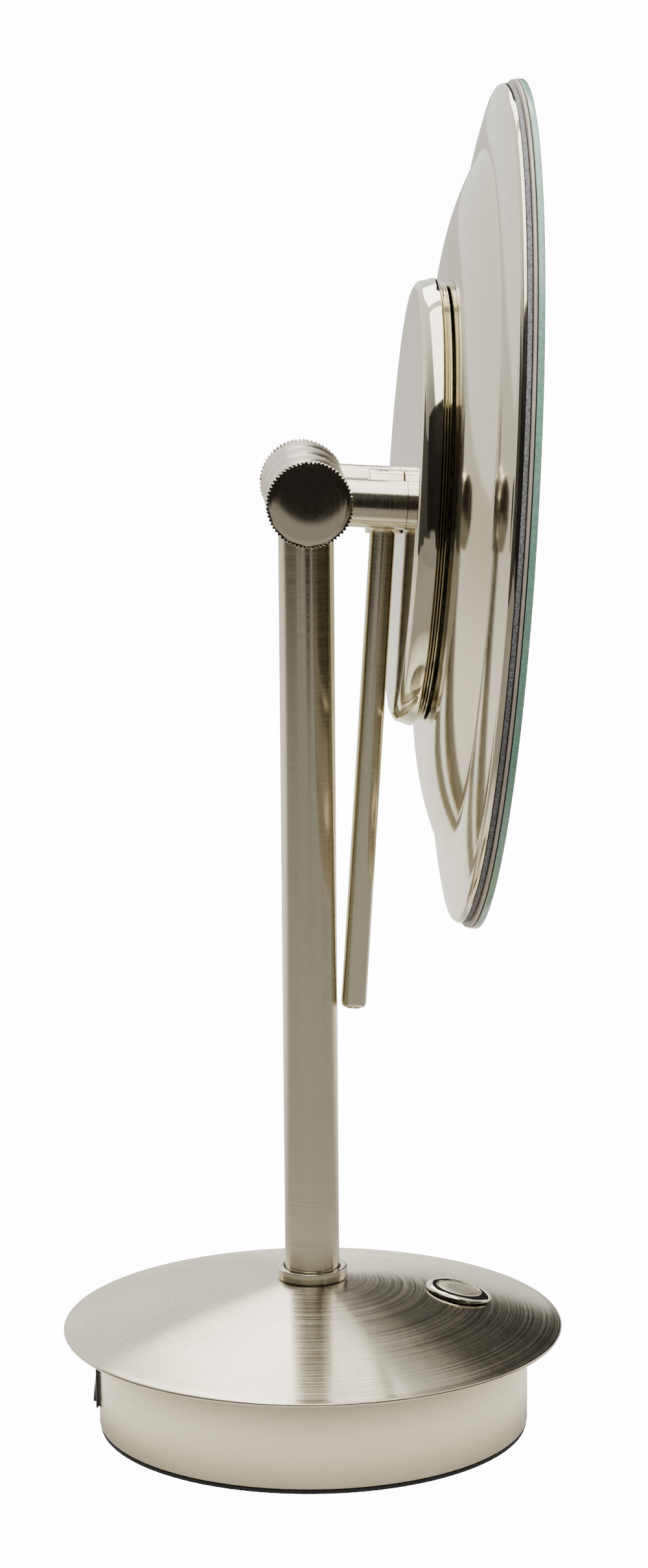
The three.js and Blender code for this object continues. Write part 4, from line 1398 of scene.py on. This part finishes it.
@dataclass
class Studio:
    """A pale floor, soft lights and the camera."""

    aim: Place = (0.0, 0.0, 0.2)
    camera_spot: Place = (-1.24, 0.0525, 0.4397)
    camera_turn: tuple[float, float, float] = (-0.046, -0.197, -0.008)
    lens: float = 100.95
    cards: tuple[Card, ...] = (
        Card("front_flag", (-0.64, 0.0, 0.58), (1.15, 0.9), 0.006),
        Card("low_flag", (-0.62, 0.0, 0.085), (1.15, 0.17), 0.22),
        Card("eye_flag", (-0.5, -0.03, 0.33), (0.34, 0.42), 0.004, True),
        Card("right_flag", (-0.2, -0.65, 0.3), (0.7, 0.5), 0.05),
        Card("left_flag", (-0.35, 0.9, 0.47), (2.0, 0.86), 0.05),
        Card("back_flag", (0.95, -0.49, 0.63), (0.88, 0.86), 0.012),
    )
    softboxes: tuple[Softbox, ...] = (
        Softbox("overhead", (-0.2, 0.0, 1.5), (0.9, 2.4), 34.0),
        Softbox("back_light", (1.3, 0.05, 1.25), (0.7, 0.7), 10.0),
    )

    def build(self) -> None:
        """Sets up the floor, the world, the lights and the camera."""
        self._floor("floor", Seen.BY_EYE, -0.0004, 13.0)
        self._floor("floor_in_metal", Seen.IN_METAL, -0.0002, 0.0)
        for card in self.cards:
            self._card(card)
        self._world()
        self._sun()
        for box in self.softboxes:
            self._softbox(box)
        self._camera()

    def _seen(self, obj: Object, by: Seen) -> None:
        """Chooses which rays meet a studio piece.

        Args:
            obj: the piece.
            by: the kind of ray.
        """
        eye = by is Seen.BY_EYE
        obj.visible_camera = eye
        obj.visible_glossy = not eye
        obj.visible_diffuse = not eye
        obj.visible_transmission = not eye
        obj.visible_shadow = eye

    def _floor(self, name: str, by: Seen, height: float, glow: float) -> None:
        """Lays one of the two floors, the lit one or the one that metal reflects.

        Args:
            name: its name.
            by: which rays meet it.
            height: its height in metres.
            glow: how strongly it is lit.
        """
        deselect()
        bpy.ops.mesh.primitive_plane_add(size=60, location=(0, 0, height))
        floor = bpy.context.object
        floor.name = name
        g = Graph(name)
        shader = g.principled(Roughness=0.9, Emission_Strength=glow)
        shader.inputs["Base Color"].default_value = (0.9, 0.9, 0.9, 1)
        if by is Seen.IN_METAL:
            # painted light and shade: the floor that metal reflects is painted pale near the base and behind
            # it, and dark toward the camera and to the sides
            parts = g.node("SeparateXYZ")
            g.link(g.node("TexCoord").outputs["Object"], parts.inputs[0])
            far = g.spread(parts.outputs[0], 0.0, 0.8, 0.1, 0.4)
            near = g.spread(g.vector("LENGTH", g.node("TexCoord").outputs["Object"]), 1.0, 0.0, 0.1, 0.2)
            pale = g.math("MAXIMUM", far, near)
            tones = ((0.0, (0.19, 0.183, 0.168)), (1.0, (0.84, 0.81, 0.74)))
            g.link(g.ramp(pale, *tones), shader.inputs["Base Color"])
        shader.inputs["Emission Color"].default_value = (1, 1, 1, 1)
        floor.data.materials.append(g.material)
        self._seen(floor, by)

    def _card(self, card: Card) -> None:
        """Hangs one dark card, facing the object.

        Args:
            card: its place, size and shade.
        """
        deselect()
        if card.oval:
            bpy.ops.mesh.primitive_circle_add(vertices=64, radius=0.5, location=card.spot, fill_type="NGON")
        else:
            bpy.ops.mesh.primitive_plane_add(size=1, location=card.spot)
        obj = bpy.context.object
        obj.name = card.name
        obj.scale = (*card.size, 1)
        obj.rotation_euler = self._facing(card.spot)
        g = Graph(card.name)
        shader = g.principled(Roughness=1.0)
        shader.inputs["Base Color"].default_value = (card.shade, card.shade, card.shade, 1)
        obj.data.materials.append(g.material)
        self._seen(obj, Seen.IN_METAL)
        obj.visible_diffuse = False

    def _facing(self, spot: Place) -> Euler:
        """Works out how a thing is turned to face the object.

        Args:
            spot: where it stands.

        Returns:
            Euler: its rotation.
        """
        return (Vector(self.aim) - Vector(spot)).to_track_quat("-Z", "Y").to_euler()

    def _world(self) -> None:
        """Lights the room softly, paler behind the object than before it."""
        world = bpy.data.worlds.new("studio")
        bpy.context.scene.world = world
        world.use_nodes = True
        nodes, links = world.node_tree.nodes, world.node_tree.links
        background = nodes["Background"]
        parts = nodes.new("ShaderNodeSeparateXYZ")
        links.new(nodes.new("ShaderNodeTexCoord").outputs["Generated"], parts.inputs[0])
        away = nodes.new("ShaderNodeMapRange")
        for key, value in (("From Min", -0.45), ("From Max", 0.6), ("To Min", 0.4), ("To Max", 1.5)):
            away.inputs[key].default_value = value
        away.interpolation_type = "SMOOTHSTEP"
        links.new(parts.outputs[0], away.inputs["Value"])
        links.new(away.outputs[0], background.inputs["Strength"])
        background.inputs["Color"].default_value = (1.0, 0.985, 0.95, 1)

    def _sun(self) -> None:
        """Adds the broad light of a ceiling, which metal doesn't reflect."""
        light = bpy.data.lights.new("ceiling", "SUN")
        light.energy = 1.2
        light.angle = math.radians(70)
        lamp = bpy.data.objects.new("ceiling", light)
        bpy.context.scene.collection.objects.link(lamp)
        lamp.visible_glossy = False

    def _softbox(self, box: Softbox) -> None:
        """Hangs one soft light, facing the object.

        Args:
            box: its place, size and power.
        """
        light = bpy.data.lights.new(box.name, "AREA")
        light.shape = "RECTANGLE"
        light.size, light.size_y = box.size
        light.energy = box.power
        light.color = (1.0, 0.98, 0.94)
        lamp = bpy.data.objects.new(box.name, light)
        bpy.context.scene.collection.objects.link(lamp)
        lamp.location = box.spot
        lamp.rotation_euler = self._facing(box.spot)

    def _camera(self) -> None:
        """Sets up the camera, low and level with the knob's end."""
        yaw, pitch, roll = self.camera_turn
        ahead = Vector((math.cos(pitch) * math.cos(yaw), math.cos(pitch) * math.sin(yaw), math.sin(pitch)))
        right = ahead.cross(Vector((0, 0, 1))).normalized()
        up = right.cross(ahead)
        level, rise = right, up
        right = math.cos(roll) * level + math.sin(roll) * rise
        up = -math.sin(roll) * level + math.cos(roll) * rise
        data = bpy.data.cameras.new("camera")
        data.lens = self.lens
        data.sensor_width = 36
        data.clip_end = 100
        camera = bpy.data.objects.new("camera", data)
        bpy.context.scene.collection.objects.link(camera)
        turned = Matrix((right, up, -ahead)).transposed()
        camera.matrix_world = Matrix.Translation(self.camera_spot) @ turned.to_4x4()
        bpy.context.scene.camera = camera


def main() -> None:
    """Builds every sub-assembly in order, then the studio."""
    logging.basicConfig(level=logging.INFO, format="%(name)s: %(message)s")
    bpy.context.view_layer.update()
    finishes = Finishes()
    kinds = (Base, PushButton, RockerSwitch, Post, Pivot, Arms, Head, InnerPieces)
    for part in [kind(finishes) for kind in kinds] + [Studio()]:
        log.info("building %s", type(part).__name__)
        part.build()


if __name__ == "__main__":
    main()
